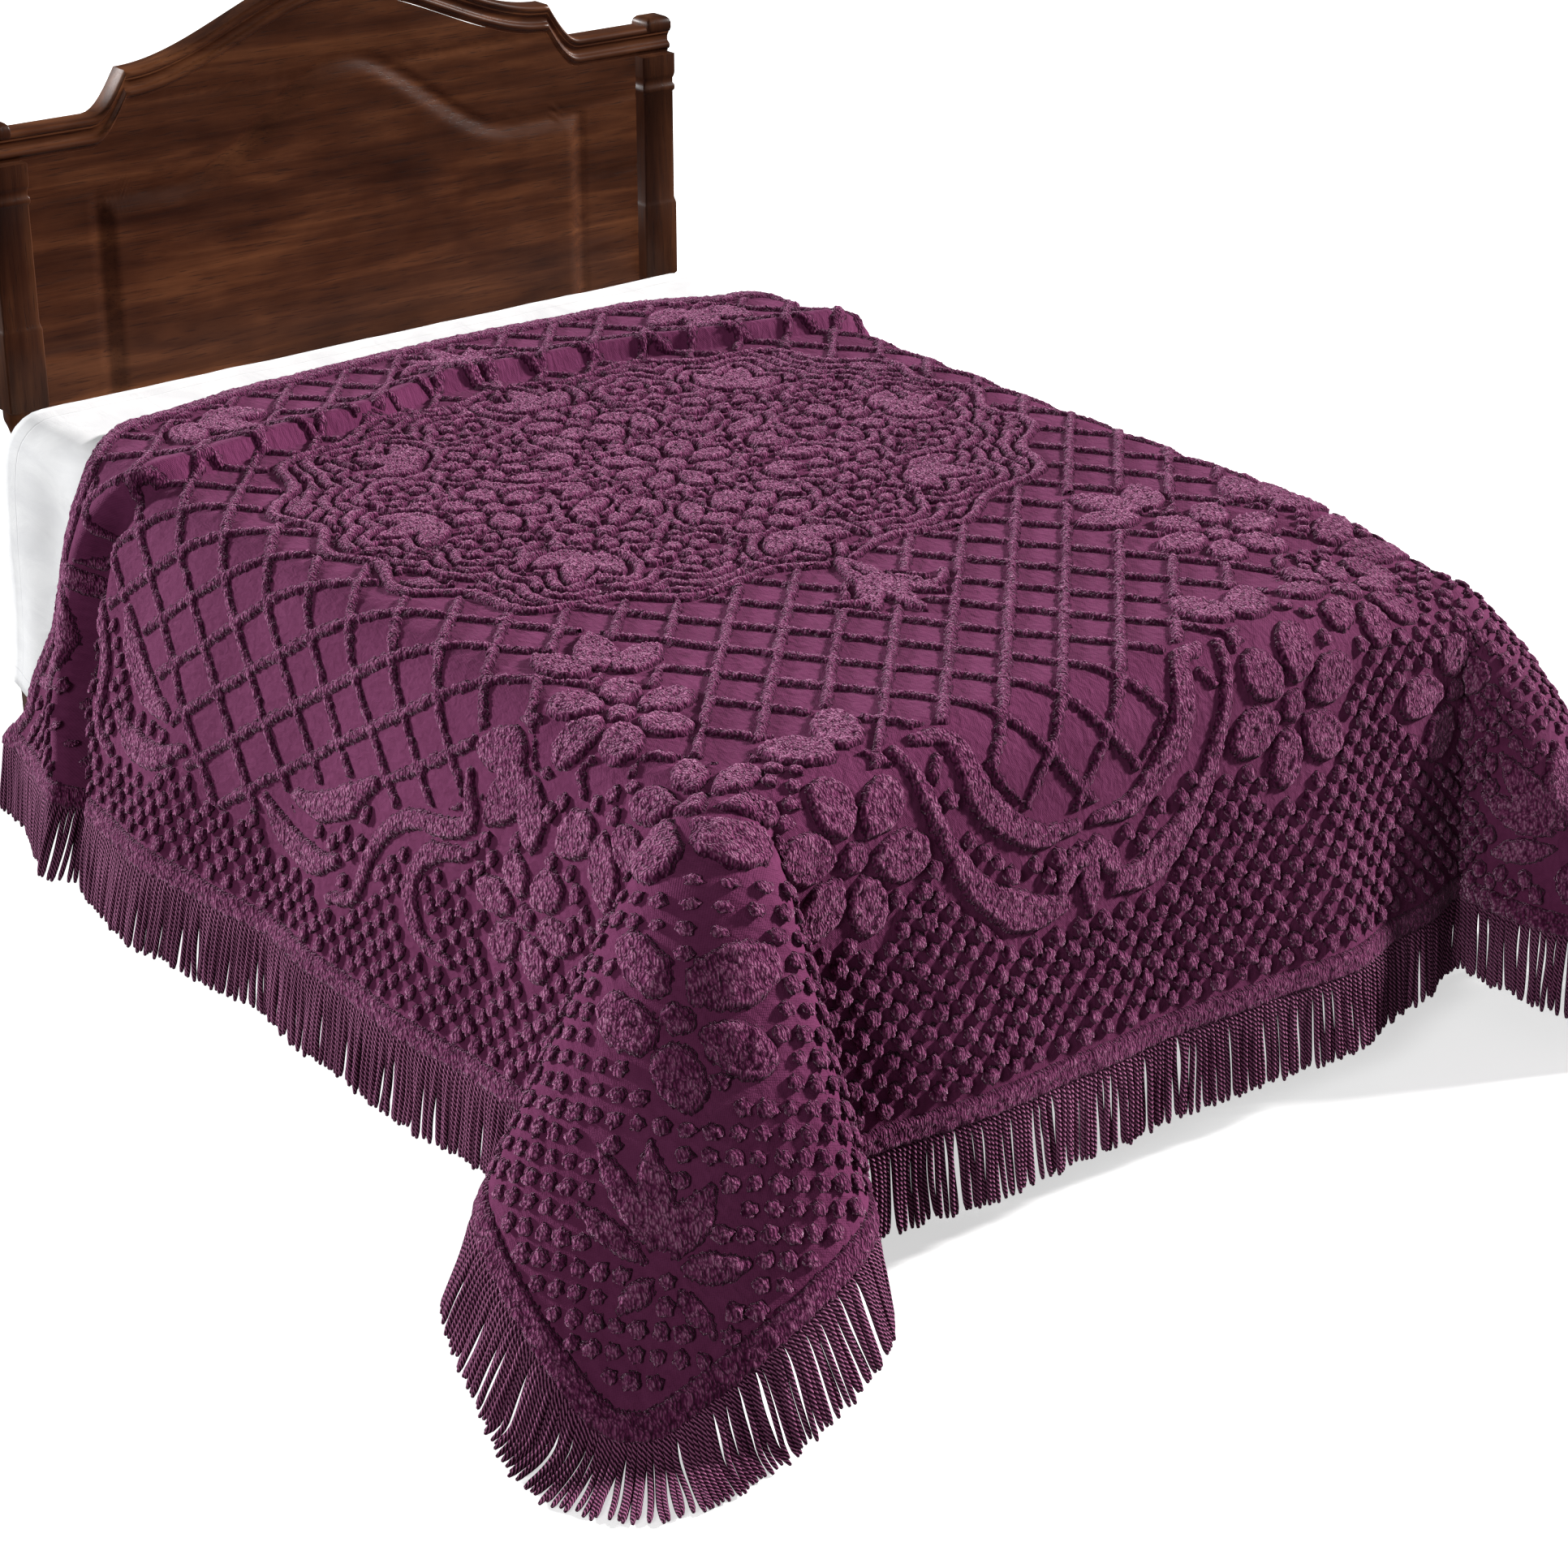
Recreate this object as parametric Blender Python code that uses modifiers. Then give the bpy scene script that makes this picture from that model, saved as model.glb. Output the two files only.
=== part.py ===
"""A tufted chenille bedspread with a corded fringe, draped over a plain double bed.

Metres, +Z up. X runs across the bed, Y from its foot to its head, and the floor is Z = 0.
The bedspread is one sheet: a point on it has a flat place (across, along), measured from the middle of the
mattress's foot edge, and drape() gives where that point hangs.
"""
import math

import bmesh
import bpy
import numpy as np
from mathutils import Vector

# ---- the bed
MATTRESS_WIDTH, MATTRESS_LENGTH = 1.37, 1.91
MATTRESS_TOP, MATTRESS_DEPTH = 0.670, 0.25
EDGE_RADIUS = 0.055
# where the mattress's box is cut across, along and up so that its foot corners can give: close together there
MATTRESS_CUTS = ((-0.58, -0.53, -0.46, -0.37, 0.0, 0.37, 0.46, 0.53, 0.58),
                 (0.11, 0.16, 0.22, 0.30, 0.42, 1.2), ())
BOX_SPRING_DEPTH, BOX_SPRING_INSET = 0.20, 0.010
RAIL_THICK, RAIL_DEPTH, RAIL_TOP = 0.03, 0.10, 0.20
RAIL_OUT = 0.65                # half the width over the side rails
SLAT_WIDTH, SLAT_THICK, SLAT_COUNT = 0.09, 0.019, 4
LEG_SIDE = 0.05
GAP, CLOTH_GAP = 0.0003, 0.0008    # between pieces that touch, and under a cloth that lies on one

# ---- the headboard
POST_SIDE, POST_OUT = 0.07, 0.67           # a post's side, and half the width over the posts
POST_FRONT = MATTRESS_LENGTH + 0.015
FOOT_BLOCK_TOP, TURNED_TOP = 0.20, 0.66    # the turned length of a post lies between these
PANEL_THICK, PANEL_BOTTOM = 0.022, 0.32
CREST_THICK, CREST_DEPTH = 0.045, 0.050
SHOULDER, SHOULDER_HEIGHT = 0.41, 1.185    # where the arch meets the cove
PEAK_HEIGHT = 1.300
COVE, EAR_HEIGHT = 0.065, 1.118            # width of the cove beside the shoulder, height past it
TURNING = (                                # a post's turned length: height, radius
    (0.190, 0.024), (0.205, 0.024), (0.218, 0.031), (0.232, 0.024), (0.262, 0.030), (0.330, 0.034),
    (0.395, 0.029), (0.440, 0.019), (0.505, 0.017), (0.520, 0.022), (0.535, 0.031), (0.550, 0.034),
    (0.565, 0.031), (0.580, 0.022), (0.598, 0.017), (0.628, 0.024), (0.645, 0.030), (0.670, 0.030),
)

# ---- the bedspread
CLOTH_THICK, SHEET_THICK = 0.004, 0.001
TOP = MATTRESS_TOP + 2 * CLOTH_GAP + SHEET_THICK + CLOTH_THICK / 2   # its middle, over the white sheet
HALF, FOOT = 0.63, 0.06        # where the roll over the sides and over the foot begins
ROLL = 0.096                   # radius of the cloth over the edges
DROP = 0.55                    # cloth from the roll's start to the hem
FRINGE, FRINGE_HEAD = 0.125, 0.012
FRINGE_THICK, HEM_GAP = 0.004, 0.0013
LYING = 0.004                  # height of the fringe's middle where it lies on the floor
TEETH_PITCH, TOOTH_SHARE, CORNER_TEETH = 0.060, 0.7, 4
SPREAD = HALF + DROP           # flat half-width to the hem
HEM = FOOT - DROP              # flat place of the foot hem

# lean of the hanging cloth from plumb: place along the panel, degrees
LEFT_LEAN = ((0.06, 13), (0.30, 15), (0.80, 18), (1.20, 21), (1.45, 19), (1.70, 12))
RIGHT_LEAN = ((0.06, 7), (0.40, 13), (1.20, 16), (1.80, 17))
FOOT_LEAN = ((-0.63, 10), (-0.40, 13), (-0.10, 15), (0.30, 15), (0.48, 10), (0.63, 4))
# soft folds of the drops: place along the panel, half-width, push outward at the hem
LEFT_FOLDS = ((0.50, 0.16, 0.012), (0.86, 0.14, -0.014), (1.16, 0.13, 0.012))
RIGHT_FOLDS = ((0.45, 0.18, 0.020), (0.85, 0.16, -0.018), (1.20, 0.15, 0.016))
FOOT_FOLDS = ((-0.34, 0.14, 0.010), (-0.02, 0.16, -0.010), (0.28, 0.13, 0.012))
# a foot corner's cone: the Bezier controls of its rulings' headings, how much longer its ridge hangs,
# and the radius of the ridge over the corner
NEAR_CONE = ((1.10, -0.29), (-0.12, 1.05)), 0.13, 0.22
FAR_CONE = ((1.12, -0.12), (-0.10, 1.16)), 0.06, 0.11
CORNER = 0.075                 # radius of the cloth's own foot corners
# the corners of the bed give a little: depth at the left and right foot corner, and how far it reaches
LEFT_GIVE, RIGHT_GIVE, GIVE_REACH = 0.018, 0.048, 0.16
CLOTH_SHARE = 0.85             # the cloth follows this share of it
# the pleat that crosses the bed near its head, and the cloth's head edge: flat place across, along
PLEAT = ((-1.18, 1.42), (-0.99, 1.49), (-0.82, 1.52), (-0.64, 1.45), (-0.30, 1.49), (-0.05, 1.56),
         (0.16, 1.54), (0.64, 1.44), (0.90, 1.45), (1.18, 1.40))
HEAD_EDGE = ((-1.18, 1.74), (-1.08, 1.66), (-0.90, 1.59), (-0.74, 1.59), (-0.56, 1.71), (-0.30, 1.75),
             (0.0, 1.77), (0.40, 1.75), (0.60, 1.68), (0.76, 1.61), (1.18, 1.60))
PLEAT_RISE, PLEAT_LIP, PLEAT_GROOVE = 0.010, 0.022, 0.028
# rows of the cloth's grid beside the pleat line
PLEAT_ROWS = (-0.055, -0.034, -0.018, -0.004, 0.010, 0.026, 0.050, 0.085)

# ---- the white sheet under it
SHEET_HALF, SHEET_ROLL, SHEET_DROP = 0.630, 0.066, 0.49
SHEET_FOOT, SHEET_HEAD = 0.48, 1.895
SHEET_LEAN = 3.0
SHEET_FOLDS = ((0.60, 0.20, 0.010), (1.05, 0.18, 0.012), (1.50, 0.12, 0.010), (1.80, 0.10, 0.016))


# ---------------------------------------------------------------- the drape

def smooth(x):
    x = np.clip(x, 0.0, 1.0)
    return x * x * (3.0 - 2.0 * x)


def track(table, place):
    """A table's second column, eased from row to row, at a place in its first."""
    rows = np.array(table, float)
    place = np.clip(place, rows[0, 0], rows[-1, 0])
    row = np.clip(np.searchsorted(rows[:, 0], place, side="right") - 1, 0, len(rows) - 2)
    share = (place - rows[row, 0]) / (rows[row + 1, 0] - rows[row, 0])
    return rows[row, 1] + (rows[row + 1, 1] - rows[row, 1]) * smooth(share)


def over_edge(length, lean, radius):
    """How far out and how far down a length of cloth reaches past the start of its roll."""
    turn = math.pi / 2 - lean
    arc = np.minimum(length, radius * turn) / radius
    rest = np.maximum(length - radius * turn, 0.0)
    return radius * np.sin(arc) + rest * np.sin(lean), radius * (1 - np.cos(arc)) + rest * np.cos(lean)


def folds(table, place, length, full):
    """The push of a drop's soft folds, none at the roll and full at the hem."""
    push = np.zeros(np.shape(place))
    for middle, half_width, depth in table:
        push = push + depth * smooth(1 - np.abs(place - middle) / half_width)
    return push * np.clip(length / full, 0.0, 1.3) ** 1.5


def cone(side, foot, side_lean, foot_lean, controls, stretch, radius):
    """A foot corner: its rulings fan from the roll's corner, at even steps of angle in the flat cloth.

    side and foot are the flat distances past the two roll lines. Gives the reach past them and the fall.
    """
    step = np.linspace(0.0, 1.0, 240)[:, None]
    start = np.array((math.sin(side_lean), 0.0))
    end = np.array((0.0, math.sin(foot_lean)))
    first, second = np.array(controls)
    heading = (start * (1 - step) ** 3 + 3 * first * step * (1 - step) ** 2
               + 3 * second * step ** 2 * (1 - step) + end * step ** 3)
    down = np.sqrt(1 - (heading ** 2).sum(1))
    walk = np.linalg.norm(np.diff(np.column_stack((heading, down)), axis=0), axis=1)
    walk = np.concatenate(((0.0,), np.cumsum(walk)))
    turn = np.arctan2(foot, side) / (math.pi / 2)
    out_x = np.interp(turn, walk / walk[-1], heading[:, 0])
    out_y = np.interp(turn, walk / walk[-1], heading[:, 1])
    out = np.hypot(out_x, out_y)
    ridge = np.sin(math.pi * turn) ** 2
    length = np.hypot(side, foot) * (1 + stretch * ridge)
    reach, fall = over_edge(length, np.arcsin(out), ROLL + (radius - ROLL) * ridge)
    return reach * out_x / out, reach * out_y / out, fall


def corner_give(across, along):
    """How much lower the bed lies near its foot corners."""
    depth = np.where(across < 0, LEFT_GIVE, RIGHT_GIVE)
    away = np.hypot(HALF - np.abs(across), along - FOOT)
    return depth * np.exp(-(away / GIVE_REACH) ** 2)


def bare_drape(across, along):
    """The cloth's place before the pleat: flat top, rolls, drops and corner cones."""
    left = across < 0
    side, foot = np.abs(across) - HALF, FOOT - along
    beside, below = np.maximum(side, 1e-6), np.maximum(foot, 1e-6)
    x, y, fall = np.minimum(np.abs(across), HALF), np.maximum(along, FOOT), np.zeros(np.shape(across))

    lean = np.radians(np.where(left, track(LEFT_LEAN, along), track(RIGHT_LEAN, along)))
    reach, drop = over_edge(beside, lean, ROLL)
    reach = reach + np.where(left, folds(LEFT_FOLDS, along, beside, DROP),
                             folds(RIGHT_FOLDS, along, beside, DROP))
    hangs = (side > 0) & (foot <= 0)
    x, fall = np.where(hangs, HALF + reach, x), np.where(hangs, drop, fall)

    reach, drop = over_edge(below, np.radians(track(FOOT_LEAN, across)), ROLL)
    reach = reach + folds(FOOT_FOLDS, across, below, DROP)
    hangs = (side <= 0) & (foot > 0)
    y, fall = np.where(hangs, FOOT - reach, y), np.where(hangs, drop, fall)

    foot_left, foot_right = math.radians(FOOT_LEAN[0][1]), math.radians(FOOT_LEAN[-1][1])
    for here, side_lean, foot_lean, shape in ((left, math.radians(LEFT_LEAN[0][1]), foot_left, NEAR_CONE),
                                              (~left, math.radians(RIGHT_LEAN[0][1]), foot_right, FAR_CONE)):
        out_x, out_y, drop = cone(beside, below, side_lean, foot_lean, *shape)
        corner = here & (side > 0) & (foot > 0)
        x, y = np.where(corner, HALF + out_x, x), np.where(corner, FOOT - out_y, y)
        fall = np.where(corner, drop, fall)
    return np.stack((np.where(left, -x, x), y, TOP - fall - CLOTH_SHARE * corner_give(across, along)), -1)


def outward(place, across, along):
    """Unit normals of a surface function, on the side that shows."""
    step = 0.004
    right = place(across + step, along) - place(across - step, along)
    ahead = place(across, along + step) - place(across, along - step)
    normal = np.cross(right, ahead)
    return normal / np.linalg.norm(normal, axis=-1, keepdims=True)


def drape(across, along):
    """Where the flat point (across, along) of the bedspread hangs, with its pleat."""
    past = along - track(PLEAT, across)
    hanging = smooth((np.abs(across) - HALF) / 0.25)
    lip = PLEAT_LIP * np.exp(-(np.maximum(past, 0) / 0.055) ** 2)
    lift = smooth((past + 0.012) / 0.026) * (PLEAT_RISE + lip)
    lift = lift - hanging * PLEAT_GROOVE * np.exp(-((past + 0.022) / 0.020) ** 2)
    return bare_drape(across, along) + outward(bare_drape, across, along) * lift[..., None]


def lay_sheet(across, along):
    """Where the flat point of the white sheet lies."""
    left, side = across < 0, np.maximum(np.abs(across) - SHEET_HALF, 0.0)
    reach, fall = over_edge(side, math.radians(SHEET_LEAN), SHEET_ROLL)
    reach = reach + folds(SHEET_FOLDS, along, side, SHEET_DROP)
    x = np.minimum(np.abs(across), SHEET_HALF) + reach
    z = MATTRESS_TOP + CLOTH_GAP + SHEET_THICK / 2 - fall - corner_give(across, along)
    return np.stack((np.where(left, -x, x), along, z), -1)


# ---------------------------------------------------------------- shapes

def material(name, colour, roughness, metallic=0.0):
    made = bpy.data.materials.new(name)
    made.use_nodes = True
    shader = made.node_tree.nodes["Principled BSDF"]
    shader.inputs["Base Color"].default_value = (*colour, 1.0)
    shader.inputs["Roughness"].default_value = roughness
    shader.inputs["Metallic"].default_value = metallic
    return made


def add(name, data, finish, parts):
    made = bpy.data.objects.new(name, data)
    made.data.materials.append(finish)
    parts.objects.link(made)
    return made


def surface(name, points, faces, thick, finish, parts):
    """An open sheet of points, thickened evenly about its middle."""
    mesh = bpy.data.meshes.new(name)
    mesh.from_pydata([tuple(p) for p in points], [], faces)
    mesh.shade_smooth()
    made = add(name, mesh, finish, parts)
    shell = made.modifiers.new("thickness", "SOLIDIFY")
    shell.thickness, shell.offset = thick, 0.0
    return made


def grid_faces(rows, columns):
    """Faces of a grid whose points are listed row by row, facing the side that shows."""
    return [(r * columns + c, r * columns + c + 1, (r + 1) * columns + c + 1, (r + 1) * columns + c)
            for r in range(rows - 1) for c in range(columns - 1)]


def block(name, low, high, finish, parts, bevel=0.0):
    mesh = bpy.data.meshes.new(name)
    shape = bmesh.new()
    bmesh.ops.create_cube(shape, size=1.0)
    size, middle = Vector(high) - Vector(low), (Vector(high) + Vector(low)) / 2
    bmesh.ops.scale(shape, vec=size, verts=shape.verts)
    bmesh.ops.translate(shape, vec=middle, verts=shape.verts)
    shape.to_mesh(mesh)
    shape.free()
    made = add(name, mesh, finish, parts)
    if bevel:
        edge = made.modifiers.new("edges", "BEVEL")
        edge.width, edge.segments = bevel, 2
    return made


def outline(name, points, front, thick, finish, parts):
    """A flat shape cut in the plane across the bed, from its outline (x, z)."""
    curve = bpy.data.curves.new(name, "CURVE")
    curve.dimensions, curve.fill_mode, curve.extrude = "2D", "BOTH", thick / 2
    line = curve.splines.new("POLY")
    line.points.add(len(points) - 1)
    for point, (x, z) in zip(line.points, points):
        point.co = (x, z, 0.0, 1.0)
    line.use_cyclic_u = True
    made = add(name, curve, finish, parts)
    made.rotation_euler = (math.pi / 2, 0.0, 0.0)
    made.location = (0.0, front + thick / 2, 0.0)
    return made


# ---------------------------------------------------------------- the cloth pieces

def round_corners(across, along):
    """Draws the square foot corners of the flat cloth in to their radius."""
    side, foot = np.abs(across) - SPREAD + CORNER, HEM + CORNER - along
    corner = (side > 0) & (foot > 0)
    reach = np.hypot(side, foot)
    draw = np.where(corner, np.maximum(side, foot) / np.where(corner, reach, 1.0), 1.0)
    return (np.where(corner, np.sign(across) * (SPREAD - CORNER + side * draw), across),
            np.where(corner, HEM + CORNER - foot * draw, along))


def make_bedspread(finish, parts):
    stops = np.concatenate((np.linspace(0.0, 0.125, 6), np.linspace(0.125, DROP, 9)[1:]))
    top = np.linspace(-HALF, HALF, 15)
    across = np.concatenate((-HALF - stops[:0:-1], top, HALF + stops[1:]))
    pleat, edge = track(PLEAT, across), track(HEAD_EDGE, across)
    rows = [np.full(across.shape, FOOT - stop) for stop in stops[::-1]]
    rows += [FOOT + (pleat + PLEAT_ROWS[0] - FOOT) * share for share in np.linspace(0.0, 1.0, 13)[1:-1]]
    rows += [pleat + row for row in PLEAT_ROWS]
    last = rows[-1]
    rows += [last + (edge - last) * share for share in (0.5, 1.0)]
    flat = round_corners(np.tile(across, (len(rows), 1)), np.array(rows))
    points = drape(*flat).reshape(-1, 3)
    return surface("bedspread", points, grid_faces(len(rows), len(across)), CLOTH_THICK, finish, parts)


def hem_walk():
    """The hem from the left head end round the foot to the right head end.

    Rows of: flat place across, along, and the heading outward in the flat cloth, one row a tooth or a gap.
    """
    left_end = track(HEAD_EDGE, np.array(-SPREAD))
    right_end = track(HEAD_EDGE, np.array(SPREAD))
    walk = []

    def run(start, end, heading):
        teeth = max(1, round(math.dist(start, end) / TEETH_PITCH))
        for tooth in range(teeth):
            for share in (tooth, tooth + TOOTH_SHARE):
                place = [a + (b - a) * share / teeth for a, b in zip(start, end)]
                walk.append((*place, *heading))

    def corner(side, turns):
        for turn in turns:
            out = (side * math.cos(math.radians(turn)), -math.sin(math.radians(turn)))
            walk.append((side * (SPREAD - CORNER) + out[0] * CORNER, HEM + CORNER + out[1] * CORNER, *out))

    corner_turns = [(tooth + share) * 90 / CORNER_TEETH
                    for tooth in range(CORNER_TEETH) for share in (0, TOOTH_SHARE)]
    run((-SPREAD, left_end), (-SPREAD, HEM + CORNER), (-1.0, 0.0))
    corner(-1, corner_turns)
    run((CORNER - SPREAD, HEM), (SPREAD - CORNER, HEM), (0.0, -1.0))
    corner(1, [90 - turn for turn in corner_turns])
    run((SPREAD, HEM + CORNER), (SPREAD, right_end), (1.0, 0.0))
    return np.array(walk)


def hang_fringe(across, along, heading, length):
    """Points at a length down the fringe: it leaves the hem in line with the cloth and turns toward plumb.

    Where it would pass through the floor it lies on it instead.
    """
    hem = drape(across, along)
    before = drape(across - heading[:, 0] * 0.02, along - heading[:, 1] * 0.02)
    line = (hem - before) / np.linalg.norm(hem - before, axis=1, keepdims=True)
    lean = np.hypot(line[:, 0], line[:, 1])
    plumb = np.array((0.0, 0.0, -1.0)) * (0.75 - 0.45 * smooth((lean - 0.3) / 0.35))[:, None]
    hang = line + plumb
    hang = hang / np.linalg.norm(hang, axis=1, keepdims=True)
    start = hem + line * HEM_GAP
    point = start + (line + hang) / 2 * min(length, FRINGE_HEAD) + hang * max(length - FRINGE_HEAD, 0.0)
    lies = point[:, 2] < LYING
    flat = np.sqrt(np.maximum(length ** 2 - (start[:, 2] - LYING) ** 2, 0.0))
    out = hang[:, :2] / np.linalg.norm(hang[:, :2], axis=1, keepdims=True)
    point[:, :2] = np.where(lies[:, None], start[:, :2] + out * flat[:, None], point[:, :2])
    point[:, 2] = np.where(lies, LYING, point[:, 2])
    return point


def make_fringe(finish, parts):
    walk = hem_walk()
    lengths = (0.0, FRINGE_HEAD, 0.065, FRINGE)
    heading = walk[:, 2:]
    rows = np.stack([hang_fringe(walk[:, 0], walk[:, 1], heading, length) for length in lengths])
    columns = len(walk)
    faces = []
    for column in range(columns - 1):
        deep = len(lengths) - 1 if column % 2 == 0 else 1
        for row in range(deep):
            a = row * columns + column
            faces.append((a, a + columns, a + columns + 1, a + 1))
    used = sorted({index for face in faces for index in face})
    renumber = {index: place for place, index in enumerate(used)}
    points = rows.reshape(-1, 3)[used]
    faces = [tuple(renumber[index] for index in face) for face in faces]
    return surface("fringe", points, faces, FRINGE_THICK, finish, parts)


def make_sheet(finish, parts):
    roll = np.linspace(0.0, 0.105, 7)
    stops = np.concatenate((roll, np.linspace(roll[-1], SHEET_DROP, 4)[1:]))
    top = np.linspace(-SHEET_HALF, SHEET_HALF, 3)
    across = np.concatenate((-SHEET_HALF - stops[:0:-1], top, SHEET_HALF + stops[1:]))
    along = np.linspace(SHEET_FOOT, SHEET_HEAD, 12)
    flat = np.meshgrid(across, along)
    points = lay_sheet(*flat).reshape(-1, 3)
    return surface("sheet", points, grid_faces(len(along), len(across)), SHEET_THICK, finish, parts)


# ---------------------------------------------------------------- the bed

def make_mattress(finish, parts):
    """A box with every edge rounded, which gives a little at its foot corners."""
    half = np.array((MATTRESS_WIDTH, MATTRESS_LENGTH, MATTRESS_DEPTH)) / 2
    middle = np.array((0.0, half[1], MATTRESS_TOP - half[2]))
    inner = half - EDGE_RADIUS
    arc = EDGE_RADIUS * (1 - np.tan(np.linspace(math.pi / 4, 0.0, 4)))
    shape = bmesh.new()
    bmesh.ops.create_cube(shape, size=2.0)
    for axis in range(3):
        stops = {h for h in arc[1:]}
        cuts = [side * (half[axis] - stop) / half[axis] for stop in stops for side in (-1, 1)]
        cuts += [(place - middle[axis]) / half[axis] for place in MATTRESS_CUTS[axis]]
        for cut in cuts:
            point, facing = [0.0] * 3, [0.0] * 3
            point[axis], facing[axis] = cut, 1.0
            bmesh.ops.bisect_plane(shape, geom=shape.verts[:] + shape.edges[:] + shape.faces[:],
                                   plane_co=point, plane_no=facing, dist=1e-6)
    for vert in shape.verts:
        corner = np.array(vert.co) * half
        core = np.clip(corner, -inner, inner)
        away = corner - core
        point = core + away / np.linalg.norm(away) * EDGE_RADIUS + middle
        height = (point[2] - MATTRESS_TOP + MATTRESS_DEPTH) / MATTRESS_DEPTH
        point[2] -= corner_give(point[0], point[1]) * smooth(height)
        vert.co = point
    mesh = bpy.data.meshes.new("mattress")
    shape.to_mesh(mesh)
    shape.free()
    mesh.shade_smooth()
    return add("mattress", mesh, finish, parts)


def crest_line(x):
    """Height of the headboard's top edge: an ogee arch, a cove beside each shoulder, level ends."""
    out = abs(x)
    if out <= SHOULDER:
        return SHOULDER_HEIGHT + (PEAK_HEIGHT - SHOULDER_HEIGHT) * float(smooth(1 - out / SHOULDER))
    share = min((out - SHOULDER) / COVE, 1.0)
    return EAR_HEIGHT + (SHOULDER_HEIGHT - EAR_HEIGHT) * (1 - math.sin(share * math.pi / 2))


def crest_stops(reach):
    """Places across the headboard where its outline needs a point, out to reach."""
    arch = [SHOULDER * step / 9 for step in range(10)]
    cove = [SHOULDER + COVE * (1 - math.cos(step * math.pi / 12)) for step in range(1, 7)]
    half = [stop for stop in arch + cove if stop < reach] + [reach]
    return [-stop for stop in half[:0:-1]] + half


def make_headboard(finish, parts):
    inside = POST_OUT - POST_SIDE - GAP
    front = POST_FRONT + (POST_SIDE - PANEL_THICK) / 2
    stops = crest_stops(inside)
    edge = [(x, crest_line(x) - CREST_DEPTH - 2 * GAP) for x in stops]
    outline("headboard", [(-inside, PANEL_BOTTOM), (inside, PANEL_BOTTOM)] + edge[::-1], front, PANEL_THICK,
            finish, parts)
    stops = crest_stops(POST_OUT)
    top = [(x, crest_line(x)) for x in stops]
    low = [(x, crest_line(x) - CREST_DEPTH) for x in stops]
    crest_front = POST_FRONT + (POST_SIDE - CREST_THICK) / 2
    outline("crest", low + top[::-1], crest_front, CREST_THICK, finish, parts)


def make_post(name, side, finish, parts):
    """A square post with a turned length between its foot block and its upper block."""
    middle = Vector((side * (POST_OUT - POST_SIDE / 2), POST_FRONT + POST_SIDE / 2, 0.0))
    half = POST_SIDE / 2
    top = crest_line(POST_OUT) - CREST_DEPTH - GAP
    post = block(name, middle + Vector((-half, -half, TURNED_TOP)),
                 middle + Vector((half, half, top)), finish, parts)
    foot = block(name + "_foot", middle + Vector((-half, -half, 0.0)),
                 middle + Vector((half, half, FOOT_BLOCK_TOP)), finish, parts)
    mesh = bpy.data.meshes.new(name + "_turned")
    profile = [(0.0, 0.0, TURNING[0][0])] + [(radius, 0.0, height) for height, radius in TURNING]
    profile += [(0.0, 0.0, TURNING[-1][0])]
    profile = profile[::-1]
    mesh.from_pydata(profile, [(i, i + 1) for i in range(len(profile) - 1)], [])
    turned = add(name + "_turned", mesh, finish, parts)
    turned.location = middle
    screw = turned.modifiers.new("turn", "SCREW")
    screw.steps = screw.render_steps = 20
    screw.use_merge_vertices, screw.merge_threshold = True, 0.0001
    for joined in (foot, turned):
        union = post.modifiers.new("join", "BOOLEAN")
        union.operation, union.object, union.solver = "UNION", joined, "EXACT"
        joined.hide_render, joined.display_type = True, "WIRE"
    return foot, turned


def make_frame(wood, ticking, parts):
    """Box spring on slats, slats on side rails, rails between the headboard posts and two legs."""
    spring = (MATTRESS_WIDTH / 2 - BOX_SPRING_INSET, MATTRESS_LENGTH - BOX_SPRING_INSET)
    spring_top = MATTRESS_TOP - MATTRESS_DEPTH - GAP
    spring_low = spring_top - BOX_SPRING_DEPTH
    block("box_spring", (-spring[0], BOX_SPRING_INSET, spring_low), (spring[0], spring[1], spring_top),
          ticking, parts, bevel=0.012)
    rail_low, foot_end = RAIL_TOP - RAIL_DEPTH, 0.05
    inner = RAIL_OUT - RAIL_THICK
    for side, name in ((-1, "left"), (1, "right")):
        low, high = sorted((side * inner, side * RAIL_OUT))
        block("rail_" + name, (low, foot_end, rail_low), (high, POST_FRONT - GAP, RAIL_TOP), wood, parts)
        low, high = sorted((side * (RAIL_OUT - LEG_SIDE), side * RAIL_OUT))
        block("leg_" + name, (low, foot_end, 0.0), (high, foot_end + LEG_SIDE, rail_low - GAP), wood, parts)
    block("rail_foot", (-inner + GAP, foot_end, rail_low), (inner - GAP, foot_end + RAIL_THICK, RAIL_TOP),
          wood, parts)
    slat_low = spring_low - GAP - SLAT_THICK
    for number in range(SLAT_COUNT):
        start = 0.12 + number * (MATTRESS_LENGTH - 0.24 - SLAT_WIDTH) / (SLAT_COUNT - 1)
        block(f"slat_{number + 1}", (-RAIL_OUT, start, slat_low),
              (RAIL_OUT, start + SLAT_WIDTH, slat_low + SLAT_THICK), wood, parts)


def stand_on_origin(parts):
    """Moves the model so that the origin is the middle of the bottom of its box."""
    bpy.context.view_layer.update()
    ready = bpy.context.evaluated_depsgraph_get()
    corners = []
    for piece in parts.objects:
        solid = piece.evaluated_get(ready)
        mesh = solid.to_mesh()
        corners += [solid.matrix_world @ vert.co for vert in mesh.vertices]
        solid.to_mesh_clear()
    corners = np.array(corners)
    middle = (corners.min(0) + corners.max(0)) / 2
    for piece in list(parts.objects) + list(bpy.data.collections["Joined shapes"].objects):
        piece.location -= Vector((middle[0], middle[1], 0.0))


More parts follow.
